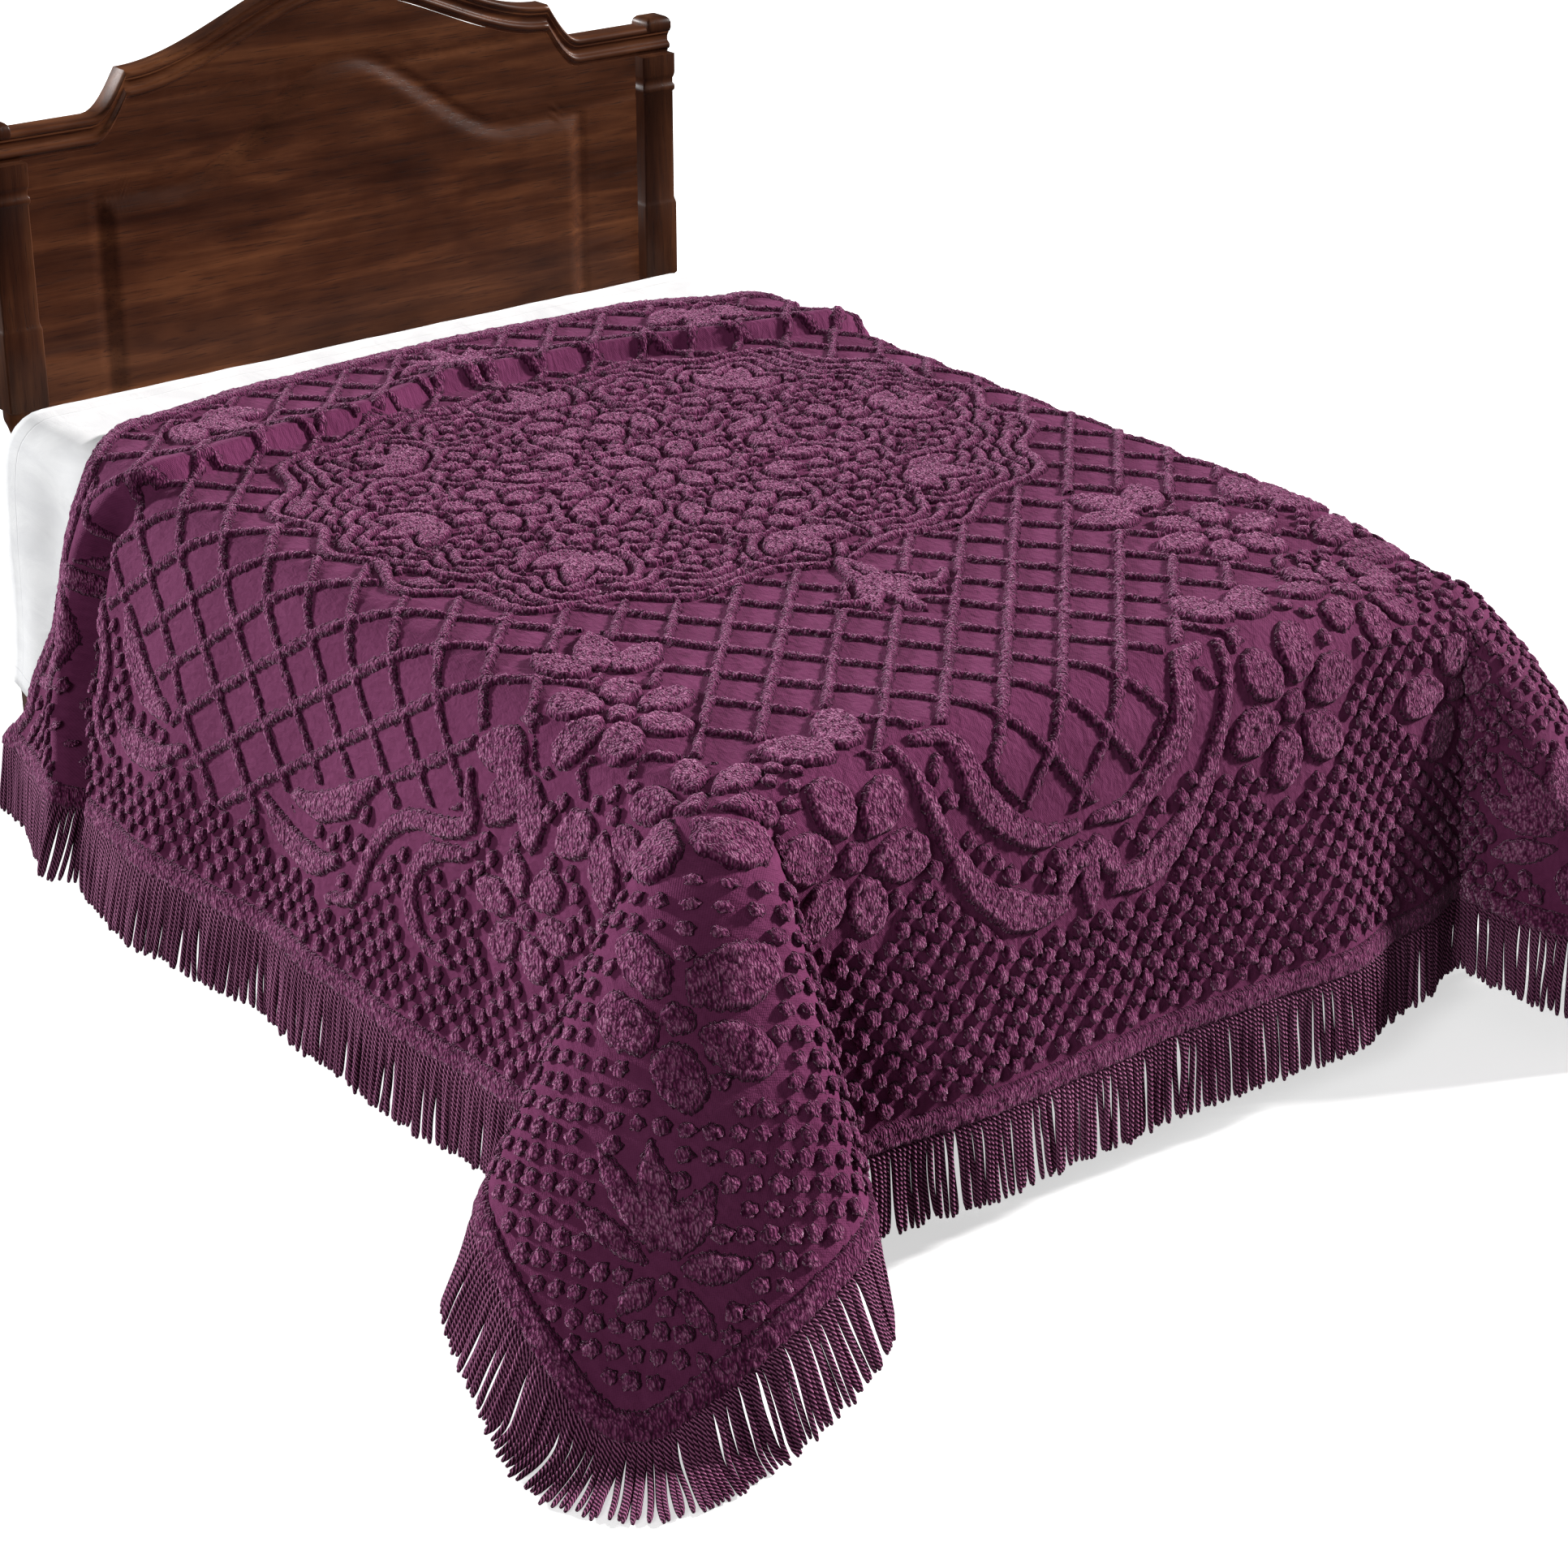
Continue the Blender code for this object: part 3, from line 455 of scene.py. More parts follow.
def wreath():
    """What is tufted between the trellis and the dotted ground: flowers, leaves and ribbons."""
    ribbon = (0.009, 0.018, 0.023, 0.019, 0.010)
    slim = (0.009, 0.012, 0.014, 0.019, 0.028, 0.015)
    made = [stroke(((0.015, -0.155), (0.09, -0.150), (0.17, -0.085), (0.205, 0.005), (0.25, 0.02)), ribbon),
            stroke(((0.285, 0.015), (0.25, -0.09), (0.19, -0.19), (0.11, -0.245), (0.05, -0.25)), slim)]
    made += put(fan(3, 1.3, 0.12, 0.036), 0.0, -0.165, -90)
    made += put(flower(6, 0.118, 0.19, 0.25), 0.385, -0.095)
    made += put(fan(2, 1.0, 0.16, 0.070, 0.15), 0.345, 0.02, 78)
    made += put(flower(7, 0.112, 0.22, 0.2), 0.570, 0.052)
    made += put(flower(6, 0.112, 0.19), 0.535, 0.300)
    made += put(fan(3, 1.5, 0.16, 0.066, 0.18), 0.50, 0.40, 112)
    made += put(fan(3, 1.7, 0.16, 0.064, 0.20), 0.640, 0.185, -15)
    made += put(fan(3, 1.4, 0.16, 0.066, 0.16), 0.65, 0.34, 30)
    # the side
    made += [stroke(((0.735, 0.47), (0.80, 0.45), (0.835, 0.50), (0.865, 0.585), (0.94, 0.645), (1.03, 0.665),
                     (1.06, 0.72)), (0.009, 0.016, 0.016, 0.015, 0.013, 0.013, 0.009)),
             stroke(((1.035, 0.43), (1.02, 0.50), (0.96, 0.545), (0.89, 0.52), (0.855, 0.45)),
                    (0.009, 0.014, 0.017, 0.017, 0.011)),
             stroke(((0.955, 0.86), (0.945, 0.80), (0.91, 0.735), (0.85, 0.675)),
                    (0.011, 0.024, 0.026, 0.010)),
             stroke(((1.00, 0.72), (1.025, 0.78), (1.02, 0.86), (0.985, 0.93)),
                    (0.009, 0.024, 0.020, 0.008))]
    made += put(flower(6, 0.110, 0.2, 0.5), 0.885, 0.30)
    # the corner that hangs between the foot and the side
    corner = put(flower(5, 0.124, 0.18, 0.35), -0.105, 0.240)
    corner += put([leaf(0.0, 0.150, 0.060)], -0.060, 0.560, -90)
    for way in (-1, 1):
        corner += put([leaf(0.0, 0.145, 0.054)], way * 0.014 - 0.060, 0.562, -90 + way * 33)
        corner += put([leaf(0.0, 0.122, 0.048)], way * 0.027 - 0.060, 0.580, -90 + way * 70)
        corner += put([leaf(0.0, 0.085, 0.038)], way * 0.016 - 0.060, 0.602, 90 - way * 48)
    made += hung(corner)
    # the head half is the foot half turned over about the rosette
    tops = [(line * (1, -1) + (0, 2 * MIDDLE), width, tall) for line, width, tall in made]
    return both_sides(made + [each for each in tops if each[0][:, 1].max() < 1.78])


def design_across(across, along):
    """The pattern's own place across, whose axis leans toward the foot."""
    inner = 1 - smooth((np.abs(across) - 0.75) / 0.40)
    return across + SKEW * np.maximum(MIDDLE - along, 0.0) * inner


def measure(across, along, strokes):
    """Height of the motifs as a share of full, and clearance past the nearest one, at flat places."""
    u, v = across.ravel(), along.ravel()
    height, clear = np.zeros(u.size), np.full(u.size, 1.0)
    for line, half, tall in strokes:
        low, high = line.min(0) - half.max() - MOTIF_ROOM, line.max(0) + half.max() + MOTIF_ROOM
        here = np.flatnonzero((u > low[0]) & (u < high[0]) & (v > low[1]) & (v < high[1]))
        if not here.size:
            continue
        line, half = line[::2], half[::2]
        away = np.hypot(u[here, None] - line[:, 0], v[here, None] - line[:, 1])
        past = away - half
        nearest = past.argmin(1)
        past = past[np.arange(here.size), nearest]
        core = away[np.arange(here.size), nearest]
        clear[here] = np.minimum(clear[here], past)
        inside = np.clip(-past / NAP_EDGE, 0, 1)
        row = np.minimum(core / ROW_PITCH, -past / ROW_PITCH + 0.45)
        rows = 1 - 0.16 * (0.5 - 0.5 * np.cos(2 * math.pi * row))
        height[here] = np.maximum(height[here], tall * np.sqrt(1 - (1 - inside) ** 2) * rows)
    return height.reshape(across.shape), clear.reshape(across.shape)


def rosette_room(across, along):
    """Flat distance in from the scalloped outline round the rosette."""
    x, y = across / ROSETTE[0], (along - MIDDLE) / ROSETTE[1]
    turn, reach = np.arctan2(y, x), (np.abs(x) ** 2.6 + np.abs(y) ** 2.6) ** (1 / 2.6)
    return (1 + 0.035 * np.cos(16 * turn) - reach) * 0.5


def ridge(away, half):
    """A round-topped row of tufting from the distance to its middle line."""
    return np.sqrt(np.clip(1 - (away / half) ** 2, 0, 1))


def echoes(across, along, clear):
    """Height, as a share of full, of the rows that wind round the rosette's motifs, one outside another."""
    pitch = 2 * ROPE + ROPE_GAP
    out = clear - ROPE_GAP - ROPE + 0.0050 * (unevenness(across, along, 0.040, 61) - 0.5)
    away = np.abs(out - pitch * np.maximum(np.round(out / pitch), 0))
    broken = unevenness(across, along, 0.021, 62) > 0.20
    half = ROPE * (0.86 + 0.28 * unevenness(across, along, 0.012, 63))
    return ridge(away, half) * broken * (clear > ROPE_GAP)


def trellis(across, along):
    """Height of the diamond trellis as a share of full."""
    slope = math.hypot(1 / DIAMOND[0], 1 / DIAMOND[1])
    height = np.zeros(across.shape)
    for sign in (-1, 1):
        lines = across / DIAMOND[0] + sign * (along - MIDDLE) / DIAMOND[1]
        away = np.abs(lines - np.round(lines)) / slope
        run = ((along - MIDDLE) / DIAMOND[0] - sign * across / DIAMOND[1]) / slope
        half = TRELLIS_HALF * (0.80 + 0.34 * unevenness(run, np.round(lines) * 0.9, 0.013, 51)
                               + 0.12 * np.cos(2 * math.pi * run / 0.0155 + 2.1 * np.round(lines)))
        height = np.maximum(height, ridge(away, half))
    return height


def in_field(across, along):
    """Whether flat places are inside the trellis's outline."""
    return np.abs(across) < track(FIELD, along)


def pattern(across, along):
    """Height of all the pile but the dots, in metres, at flat places: its edges wander as cut tufts do."""
    u = across + 0.0044 * (unevenness(across, along, 0.0085, 41) - 0.5)
    v = along + 0.0044 * (unevenness(across, along, 0.0085, 42) - 0.5)
    leaning = design_across(u, v)
    motifs, clear = measure(leaning, v, MOTIFS)
    room = rosette_room(leaning, v)
    outline = ridge(room + 0.008, 0.0100) * (clear > 0.006)
    field = trellis(leaning, v) * in_field(leaning, v) * (clear > 0.010) * (room < -0.024)
    filling = echoes(leaning, v, clear) * (room > 0.008)
    height = np.maximum(np.maximum(motifs, 0.92 * outline), np.maximum(0.80 * field, 0.92 * filling))
    depth = np.minimum(hem_depth(across, along), track(HEAD_EDGE, across) - along)
    band = 0.75 * np.sqrt(np.clip(1 - (np.abs(depth - BAND / 2) / (BAND / 2)) ** 6, 0, 1)) * (depth > 0.001)
    return np.where(depth < BAND + 0.006, band, height) * PILE


# ---------------------------------------------------------------- shapes

def make(name, points, faces, finish, unfold=None):
    """A piece from arrays: points (n, 3) and faces (m, 3 or 4), and its places unfolded if it is cloth."""
    points, faces = np.asarray(points, float), np.asarray(faces)
    mesh = bpy.data.meshes.new(name)
    mesh.vertices.add(len(points))
    mesh.vertices.foreach_set("co", points.ravel())
    mesh.loops.add(faces.size)
    mesh.loops.foreach_set("vertex_index", faces.ravel().astype(np.int32))
    mesh.polygons.add(len(faces))
    mesh.polygons.foreach_set("loop_start", np.arange(0, faces.size, faces.shape[1], dtype=np.int32))
    mesh.polygons.foreach_set("use_smooth", np.full(len(faces), True))
    mesh.update(calc_edges=True)
    mesh.validate()
    piece = bpy.data.objects.new(name, mesh)
    bpy.context.scene.collection.objects.link(piece)
    mesh.materials.append(finish)
    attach(piece, "root")
    if unfold is not None:
        write_map(piece, "flat", np.column_stack([np.ravel(each) for each in unfold])[corners(piece)])
    return piece


def corners(piece):
    """Which point is at each corner of a piece's faces."""
    index = np.empty(len(piece.data.loops), np.int32)
    piece.data.loops.foreach_get("vertex_index", index)
    return index


def write_map(piece, name, pairs):
    """A UV map with a pair of numbers for each corner of a piece's faces."""
    piece.data.uv_layers.new(name=name).data.foreach_set("uv", pairs.astype(np.float32).ravel())


def mark(piece, values):
    """How near the tips of the pile each point of a piece is, which the pile's finish reads to paint shade
    low in the pile and light at its tips.
    """
    held = piece.data.attributes.new("tip", "FLOAT", "POINT")
    held.data.foreach_set("value", np.asarray(values, np.float32).ravel())


def grid(rows, columns):
    """Faces of a grid whose points are listed row by row, facing the side that shows."""
    corner = (np.arange(rows - 1)[:, None] * columns + np.arange(columns - 1)).ravel()
    return np.column_stack((corner, corner + 1, corner + columns + 1, corner + columns))


def shell(rows, columns):
    """Faces of a closed sheet, whose points are a grid's front ones and then its back ones."""
    front, count = grid(rows, columns), rows * columns
    rim = np.concatenate((np.arange(columns), np.arange(1, rows) * columns + columns - 1,
                          (rows - 1) * columns + np.arange(columns - 2, -1, -1),
                          np.arange(rows - 2, -1, -1) * columns))
    sides = np.column_stack((rim[:-1] + count, rim[1:] + count, rim[1:], rim[:-1]))
    return np.concatenate((front, front[:, ::-1] + count, sides))


def make_cloth(name, flat, middle, normal, lift, thick, finish, slot):
    """A closed sheet of a thickness, its middle at a lift from a surface; flat is its places unfolded."""
    surfaces = [middle + normal * np.asarray(lift + side * thick / 2)[..., None] for side in (1, -1)]
    return make(name, np.concatenate(surfaces).reshape(-1, 3), shell(*flat[0].shape), finish,
                [np.tile(each.ravel(), 2) for each in flat])


def walls(rings, sides):
    """Faces between closed rings of points, one ring after another."""
    start, here = np.arange(rings - 1)[:, None] * sides, np.arange(sides)
    after = (here + 1) % sides
    faces = start + here, start + after, start + sides + after, start + sides + here
    return np.stack(faces, -1).reshape(-1, 4)


def closing(first, sides, tip):
    """Faces from a ring of points, whose first is given, to one point."""
    here = np.arange(sides)
    return np.column_stack((first + here, first + (here + 1) % sides, np.full(sides, tip)))


def split(faces):
    """Each face of four corners as two of three."""
    return np.concatenate((faces[:, (0, 1, 2)], faces[:, (0, 2, 3)]))


def repeat(faces, count, points):
    """The faces of as many copies of a shape with so many points."""
    return (faces[None] + (np.arange(count) * points)[:, None, None]).reshape(-1, faces.shape[1])


def join(parts):
    """The points and faces of several shapes as one."""
    points, faces = zip(*parts)
    starts = walked([len(each) for each in points[:-1]]).astype(int)
    return np.vstack(points), np.vstack([each + start for each, start in zip(faces, starts)])


def eased_outline(reach, radius, steps):
    """The outline of a rectangle with rounded corners, whose middles are at reach."""
    quarter = np.linspace(0, math.pi / 2, steps)
    turn = np.concatenate([quarter + n * math.pi / 2 for n in range(4)])
    signs = np.repeat(((1, 1), (-1, 1), (-1, -1), (1, -1)), steps, axis=0)
    return signs * reach + radius * np.column_stack((np.cos(turn), np.sin(turn)))


def eased_square(rows, radius):
    """Rings up a square length with eased edges, from rows of height and half side."""
    return np.array([np.column_stack((eased_outline(half - radius, radius, 4), np.full(16, height)))
                     for height, half in rows])


def loft(rings):
    """Points and faces of closed rings, one over another, with both ends capped to a point in the middle."""
    count, sides = rings.shape[:2]
    low, high = count * sides, count * sides + 1
    faces = (split(walls(count, sides)), closing(0, sides, low)[:, (1, 0, 2)],
             closing((count - 1) * sides, sides, high))
    return np.vstack((rings.reshape(-1, 3), rings[0].mean(0), rings[-1].mean(0))), np.vstack(faces)


# ---------------------------------------------------------------- the bedspread

def make_ground(finish):
    """The ground cloth: a thin closed sheet on the drape, its rows close together at the pleat."""
    columns, to_pleat, past_pleat = 155, 138, 6
    across = np.linspace(-SPREAD, SPREAD, columns)
    pleat, edge = track(PLEAT, across), track(HEAD_EDGE, across)
    start, fine = pleat - 0.07, 0.008
    rows = [HEM + (start - HEM) * share for share in np.linspace(0, 1, to_pleat)]
    rows += [start + step for step in np.arange(fine, 0.151, fine)]
    last = rows[-1]
    rest = np.maximum(edge, last + 0.004) - last
    rows += [last + rest * share for share in np.linspace(0, 1, past_pleat + 1)[1:]]
    flat = round_corners(np.tile(across, (len(rows), 1)), np.array(rows))
    return make_cloth("spread", flat, *read_lie(*flat), 0.0, GROUND, finish, "plum chenille")


def make_pile(name, low, high, pitch, finish):
    """Pile over a rectangle of the flat cloth: rounded rows on the ground, ragged as tufting is."""
    across, along = np.meshgrid(np.arange(low[0], high[0] + pitch / 2, pitch),
                                np.arange(low[1], high[1] + pitch / 2, pitch))
    shape = across.shape
    wander = chance.uniform(-0.24, 0.24, (2, *shape)) * pitch
    wander[:, (0, -1), :], wander[:, :, (0, -1)] = 0.0, 0.0
    across, along = across + wander[0], along + wander[1]
    height = pattern(across, along)
    up = height > 0.0008
    some = up[:-1, :-1] | up[1:, :-1] | up[:-1, 1:] | up[1:, 1:]
    ragged = 0.62 + 0.42 * unevenness(across, along, 0.0068, 21) + 0.30 * chance.random(shape)
    lift = np.where(up, GROUND / 2 + height * ragged, -GROUND * 0.1)
    points = lay(across, along, lift).reshape(-1, 3)
    faces = grid(*shape)[some.ravel()]
    used = np.unique(faces)
    place = np.full(points.shape[0], -1)
    place[used] = np.arange(used.size)
    piece = make(name, points[used], place[faces], finish,
                 (across.ravel()[used], along.ravel()[used]))
    # painted shade and light: points on the ground are marked 0 and low pile low, which the pile's finish
    # colours darker; the tallest pile gets the painted highlight
    mark(piece, np.clip(np.where(up, height * ragged / PILE, 0.0), 0, 1.2).ravel()[used])
    return piece


def dot_places():
    """Where the dots of the border stand: a diagonal grid, which follows the cloth round a hanging corner."""
    reach = int(2.6 / DOT_PITCH)
    i, j = (table.ravel() for table in np.meshgrid(np.arange(-reach, reach), np.arange(-reach, reach)))
    across, along = (i + j) * DOT_PITCH / math.sqrt(2), (i - j) * DOT_PITCH / math.sqrt(2)
    outside = (np.abs(across) < HALF) | (along > FOOT)
    across, along = across[outside], along[outside]
    points = np.column_stack((i, np.maximum(j, 0) + 0.5)) * DOT_PITCH
    kept = np.abs(points[:, 0]) < points[:, 1]
    rows = [(point[None], np.zeros(1), 1.0) for point in points[kept & (j >= 0)]]
    corner = np.concatenate([line for line, _, _ in hung(rows)])
    beside = np.hypot(corner[:, 0, None] - np.abs(across), corner[:, 1, None] - along).min(1)
    corner = corner[beside > 0.66 * DOT_PITCH]
    across = np.concatenate((across, corner[:, 0], -corner[:, 0]))
    along = np.concatenate((along, corner[:, 1], corner[:, 1]))
    inside = (hem_depth(across, along) > BAND + 0.008) & (along < track(HEAD_EDGE, across) - BAND - 0.012)
    across, along = across[inside], along[inside]
    leaning = design_across(across, along)
    clear = measure(leaning, along, MOTIFS)[1]
    free = (clear > 0.010) & ~in_field(leaning, along) & (rosette_room(leaning, along) < -0.02)
    return across[free], along[free]


def make_dots(finish):
    """Cut tufts of the dotted ground: shaggy mops of short ends, which sag down the cloth."""
    across, along = dot_places()
    count, sides, rings = across.size, 12, len(DOT_RINGS)
    crown = (0.0, 0.86, 0.0)
    reach, high, parting = np.vstack((crown, np.repeat(DOT_RINGS, sides, axis=0))).T
    around = np.concatenate(((0.0,), np.tile(2 * math.pi * np.arange(sides) / sides, rings)))
    odd = np.concatenate(((0.0,), np.tile(np.arange(sides) % 2, rings)))
    ends = np.tile(chance.uniform(0.80, 1.22, (count, sides)), (1, rings))
    ends = np.column_stack((np.ones(count), ends))
    size = chance.uniform(0.86, 1.10, count)[:, None]
    spin = chance.uniform(0, 2 * math.pi, count)[:, None]
    out = reach * (1 - parting * odd) * ends * size * DOT_HALF
    twist = around + spin + chance.uniform(-0.16, 0.16, (count, out.shape[1]))
    u, v = out * np.cos(twist), out * np.sin(twist)
    lift = high * (1 - 0.9 * parting * odd) + chance.uniform(-0.10, 0.10, out.shape) * (high > 0.1)
    lift = lift * DOT_HEIGHT * size
    point, normal = read_lie(across, along)
    right = unit(read_lie(across + LOOK, along)[0] - point)
    ahead = unit(read_lie(across, along + LOOK)[0] - point)
    points = (point[:, None] + right[:, None] * u[..., None] + ahead[:, None] * v[..., None]
              + normal[:, None] * (lift + GROUND / 2)[..., None])
    steep = np.sqrt(np.clip(1 - normal[:, 2] ** 2, 0, 1))
    points[..., 2] -= (0.0080 * steep[:, None] + 0.0008) * np.clip(lift / DOT_HEIGHT, 0, 1) ** 1.5
    faces = np.concatenate((closing(1, sides, 0)[:, (2, 0, 1)],
                            split(walls(rings, sides)[:, (0, 3, 2, 1)] + 1)))
    piece = make("tuft_dots", points.reshape(-1, 3), repeat(faces, count, out.shape[1]), finish,
                 (across[:, None] + u, along[:, None] + v))
    # painted shade: a dot's lower rings and its parted ends are marked low, which the pile's finish colours
    # darker
    mark(piece, np.clip(high * (1 - 1.6 * odd * parting), 0, 1) * np.ones((count, 1)))
    return piece


def cord_places():
    """The hem from the left head end round the foot to the right: flat places and headings, a cord apart."""
    left_end, right_end = (float(track(HEAD_EDGE, np.array(side * SPREAD))) - 0.004 for side in (-1, 1))
    straight_left, straight_foot = left_end - HEM - CORNER, 2 * (SPREAD - CORNER)
    arc = CORNER * math.pi / 2
    ends = np.cumsum((straight_left, arc, straight_foot, arc))
    walk = np.arange(0.004, ends[-1] + (right_end - HEM - CORNER) - 0.004, 0.001)
    turn = sum(np.clip((walk - ends[n]) / CORNER, 0, math.pi / 2) for n in (0, 2))
    heading_x, heading_y = -np.cos(turn), -np.sin(turn)
    x = CORNER - SPREAD + np.clip(walk - ends[1], 0, straight_foot) + CORNER * heading_x
    past = np.maximum(straight_left - walk, 0) + np.maximum(walk - ends[3], 0)
    y = HEM + CORNER + past + CORNER * heading_y
    hem = read_lie(x, y)[0]
    hung_steps = np.linalg.norm(np.diff(hem, axis=0), axis=1)
    # they are sewn closer round a foot corner
    closer = 1 + 0.35 * np.exp(-(np.hypot(np.abs(x) - SPREAD, y - HEM) / 0.18) ** 2)
    count = walked(hung_steps * closer[1:]) / CORD_PITCH
    return np.column_stack((x, y, heading_x, heading_y))[np.searchsorted(count, np.arange(int(count[-1])))]


def hang_cords(walk, long, rings):
    """The paths of all the cords: each leaves the hem in line with the cloth and turns toward plumb.

    A cord that reaches the floor eases down on to it and lies there.
    """
    hem = read_lie(walk[:, 0], walk[:, 1])[0]
    line = unit(hem - read_lie(walk[:, 0] - walk[:, 2] * 0.02, walk[:, 1] - walk[:, 3] * 0.02)[0])
    point = hem + line * (HEM_GAP - 0.004)
    lean = np.hypot(line[:, 0], line[:, 1])
    # the farther the hem leans out, the less its cords are drawn to plumb
    plumb = np.array((0.0, 0.0, -1.0)) * (0.95 - 0.35 * smooth((lean - 0.3) / 0.35))[:, None]
    # at a foot corner they fan out less than the hem does
    corner = np.hypot(np.abs(walk[:, 0]) - SPREAD, walk[:, 1] - HEM)
    straight = np.column_stack((np.sign(walk[:, 0]), -np.ones(len(walk)))) / math.sqrt(2) * lean[:, None]
    line[:, :2] += (straight - line[:, :2]) * (0.66 * np.exp(-(corner / 0.22) ** 2))[:, None]
    hang = unit(line + plumb)
    out = unit(hang[:, :2])
    step, path = long / (rings - 1), [point]
    for ring in range(1, rings):
        bent = np.clip((ring - 0.5) * step / (2 * FRINGE_HEAD), 0, 1)
        fall = -(line[:, 2] + (hang[:, 2] - line[:, 2]) * bent)
        fall = np.clip(np.minimum(fall, (point[:, 2] - LYING) / SETTLE), 0.0, 1.0)
        point = point + np.column_stack((out * np.sqrt(1 - fall ** 2)[:, None], -fall)) * step[:, None]
        path.append(point)
    return np.stack(path, 1), out


def cord_tubes(path, beside, sides):
    """The cords' points, ring after ring down each one's path and then its tip, thinner toward it."""
    count, rings = path.shape[:2]
    along = unit(np.gradient(path, axis=1))
    front = unit(np.cross(along, beside))
    beside = np.cross(front, along)
    turn = 2 * math.pi * np.arange(sides) / sides
    fat = CORD_HALF * (1.0 - 0.12 * np.linspace(0, 1, rings) ** 2)
    fat[-1] *= 0.62
    ring = np.cos(turn)[:, None] * beside[:, :, None] + np.sin(turn)[:, None] * front[:, :, None]
    points = path[:, :, None] + ring * fat[None, :, None, None]
    points[..., 2] = np.maximum(points[..., 2], 0.0003)
    tips = path[:, -1] + along[:, -1] * 0.0016
    tips[:, 2] = np.maximum(tips[:, 2], 0.0005)
    return np.concatenate((points.reshape(count, -1, 3), tips[:, None]), axis=1)


def write_twist(piece, sides, rings, long, phase):
    """The map that the plies follow: round each cord in turns, from its own start, and down it in metres."""
    number, local = np.divmod(corners(piece), rings * sides + 1)
    side = (np.where(local < rings * sides, local % sides, 0) / sides).reshape(-1, 3)
    # no jump where the last side meets the first
    side = np.where((side.max(1) - side.min(1) > 0.5)[:, None] & (side < 0.5), side + 1, side).ravel()
    down = np.minimum(local // sides, rings - 1) / (rings - 1)
    write_map(piece, "twist", np.column_stack((side + phase[number, 0], down * long[number])))


def make_cords(name, walk, finish):
    """Twisted cords of the fringe: they gather and part a little as they hang."""
    count, sides, rings = len(walk), 6, 14
    long = FRINGE * chance.uniform(0.93, 1.0, count)
    sway = np.convolve(chance.normal(0, 1, count + 12), np.ones(5) / 5, "valid")[:count]
    own, bow = chance.normal(0, 1, (2, count, 1))
    push, phase = chance.uniform(-1, 1, (count, 1)), chance.random((count, 1))
    path, out = hang_cords(walk, long, rings)
    beside = np.column_stack((-out[:, 1], out[:, 0], np.zeros(count)))[:, None]
    share = np.linspace(0, 1, rings)
    aside = ((0.0068 * sway[:, None] + 0.0020 * own) * share ** 1.5 + 0.0018 * bow * np.sin(math.pi * share)
             + 0.0016 * push * np.sin(2 * math.pi * share))
    path = path + beside * aside[..., None]
    path[..., :2] += out[:, None] * (push * (0.0020 * np.sin(math.pi * share) + 0.0022 * share))[..., None]
    path[..., 2] = np.maximum(path[..., 2], CORD_HALF + 0.0003)
    points = cord_tubes(path, beside, sides)
    faces = np.concatenate((split(walls(rings, sides)), closing((rings - 1) * sides, sides, rings * sides)))
    piece = make(name, points.reshape(-1, 3), repeat(faces, count, points.shape[1]), finish)
    write_twist(piece, sides, rings, long, phase)
    return piece


# ---------------------------------------------------------------- the white sheet and the bed under it

def make_sheet(finish):
    """The white sheet: flat under the bedspread, a little crumpled where it is bare, with a turned hem."""
    drop = np.linspace(0, SHEET_DROP, 30)[1:]
    across = np.concatenate((-SHEET_HALF - drop[::-1], np.linspace(-SHEET_HALF, SHEET_HALF, 34),
                             SHEET_HALF + drop))
    flat = np.meshgrid(across, np.linspace(SHEET_FOOT, SHEET_HEAD, 88))
    bare = smooth((flat[1] - track(HEAD_EDGE, flat[0]) + 0.03) / 0.10)
    slack = smooth((np.abs(flat[0]) - SHEET_HALF - 0.03) / 0.10)
    wrinkle = (0.0040 * unevenness(*flat, 0.085, 31)
               + 0.0016 * unevenness(flat[0] + flat[1], flat[1], 0.03, 32)
               + 0.006 * slack * unevenness(flat[0] * 0.4, flat[1], 0.075, 33))
    wrinkle = wrinkle * np.maximum(bare, 0.3 * slack)
    return make_cloth("white_sheet", flat, lay_sheet(*flat) + PLACE, outward(lay_sheet, *flat), wrinkle,
                      SHEET_THICK, finish, "white cotton")


def pad_side(axis, side, half, inner, radius, dent, cells):
    """One of the six sides of an upholstered box, about the box's middle."""
    first, second = [other for other in range(3) if other != axis]
    counts = [max(8, int(2 * half[other] / cells)) for other in (first, second)]
    a, b = (np.concatenate((np.linspace(-1, -inner[other] / half[other], 5)[:-1],
                            np.linspace(-inner[other], inner[other], count) / half[other],
                            np.linspace(inner[other] / half[other], 1, 5)[1:]))
            for other, count in zip((first, second), counts))
    place = np.zeros((b.size, a.size, 3))
    place[..., axis] = side
    place[..., first], place[..., second] = np.meshgrid(a, b)
    core = np.clip(place * half, -inner, inner)
    facing = unit(place * half - core)
    point = core + facing * radius
    u, v = point[..., first], point[..., second]
    room = (half[first] - np.abs(u)).clip(0) * (half[second] - np.abs(v)).clip(0)
    quilt = 0.5 + 0.5 * np.cos(2 * math.pi * u / QUILT) * np.cos(2 * math.pi * v / QUILT)
    point = point - facing * (dent * (1 - quilt) * smooth(room / 0.01))[..., None]
    faces = grid(b.size, a.size)
    return point.reshape(-1, 3), faces[:, ::-1] if (side < 0) != (axis == 1) else faces


def piping(level, inner, radius):
    """The cord round an upholstered box at a height."""
    outline = eased_outline(inner[:2], radius, 7)
    ahead = unit(np.roll(outline, -1, 0) - np.roll(outline, 1, 0))
    out = np.column_stack((ahead[:, 1], -ahead[:, 0]))
    count, sides = len(outline), 8
    turn = 2 * math.pi * np.arange(sides) / sides
    tube = np.zeros((count, sides, 3))
    tube[..., :2] = outline[:, None] + out[:, None] * (np.cos(turn) * PIPING)[None, :, None]
    tube[..., 2] = level + np.sin(turn) * PIPING
    return tube.reshape(-1, 3), walls(count + 1, sides) % (count * sides)


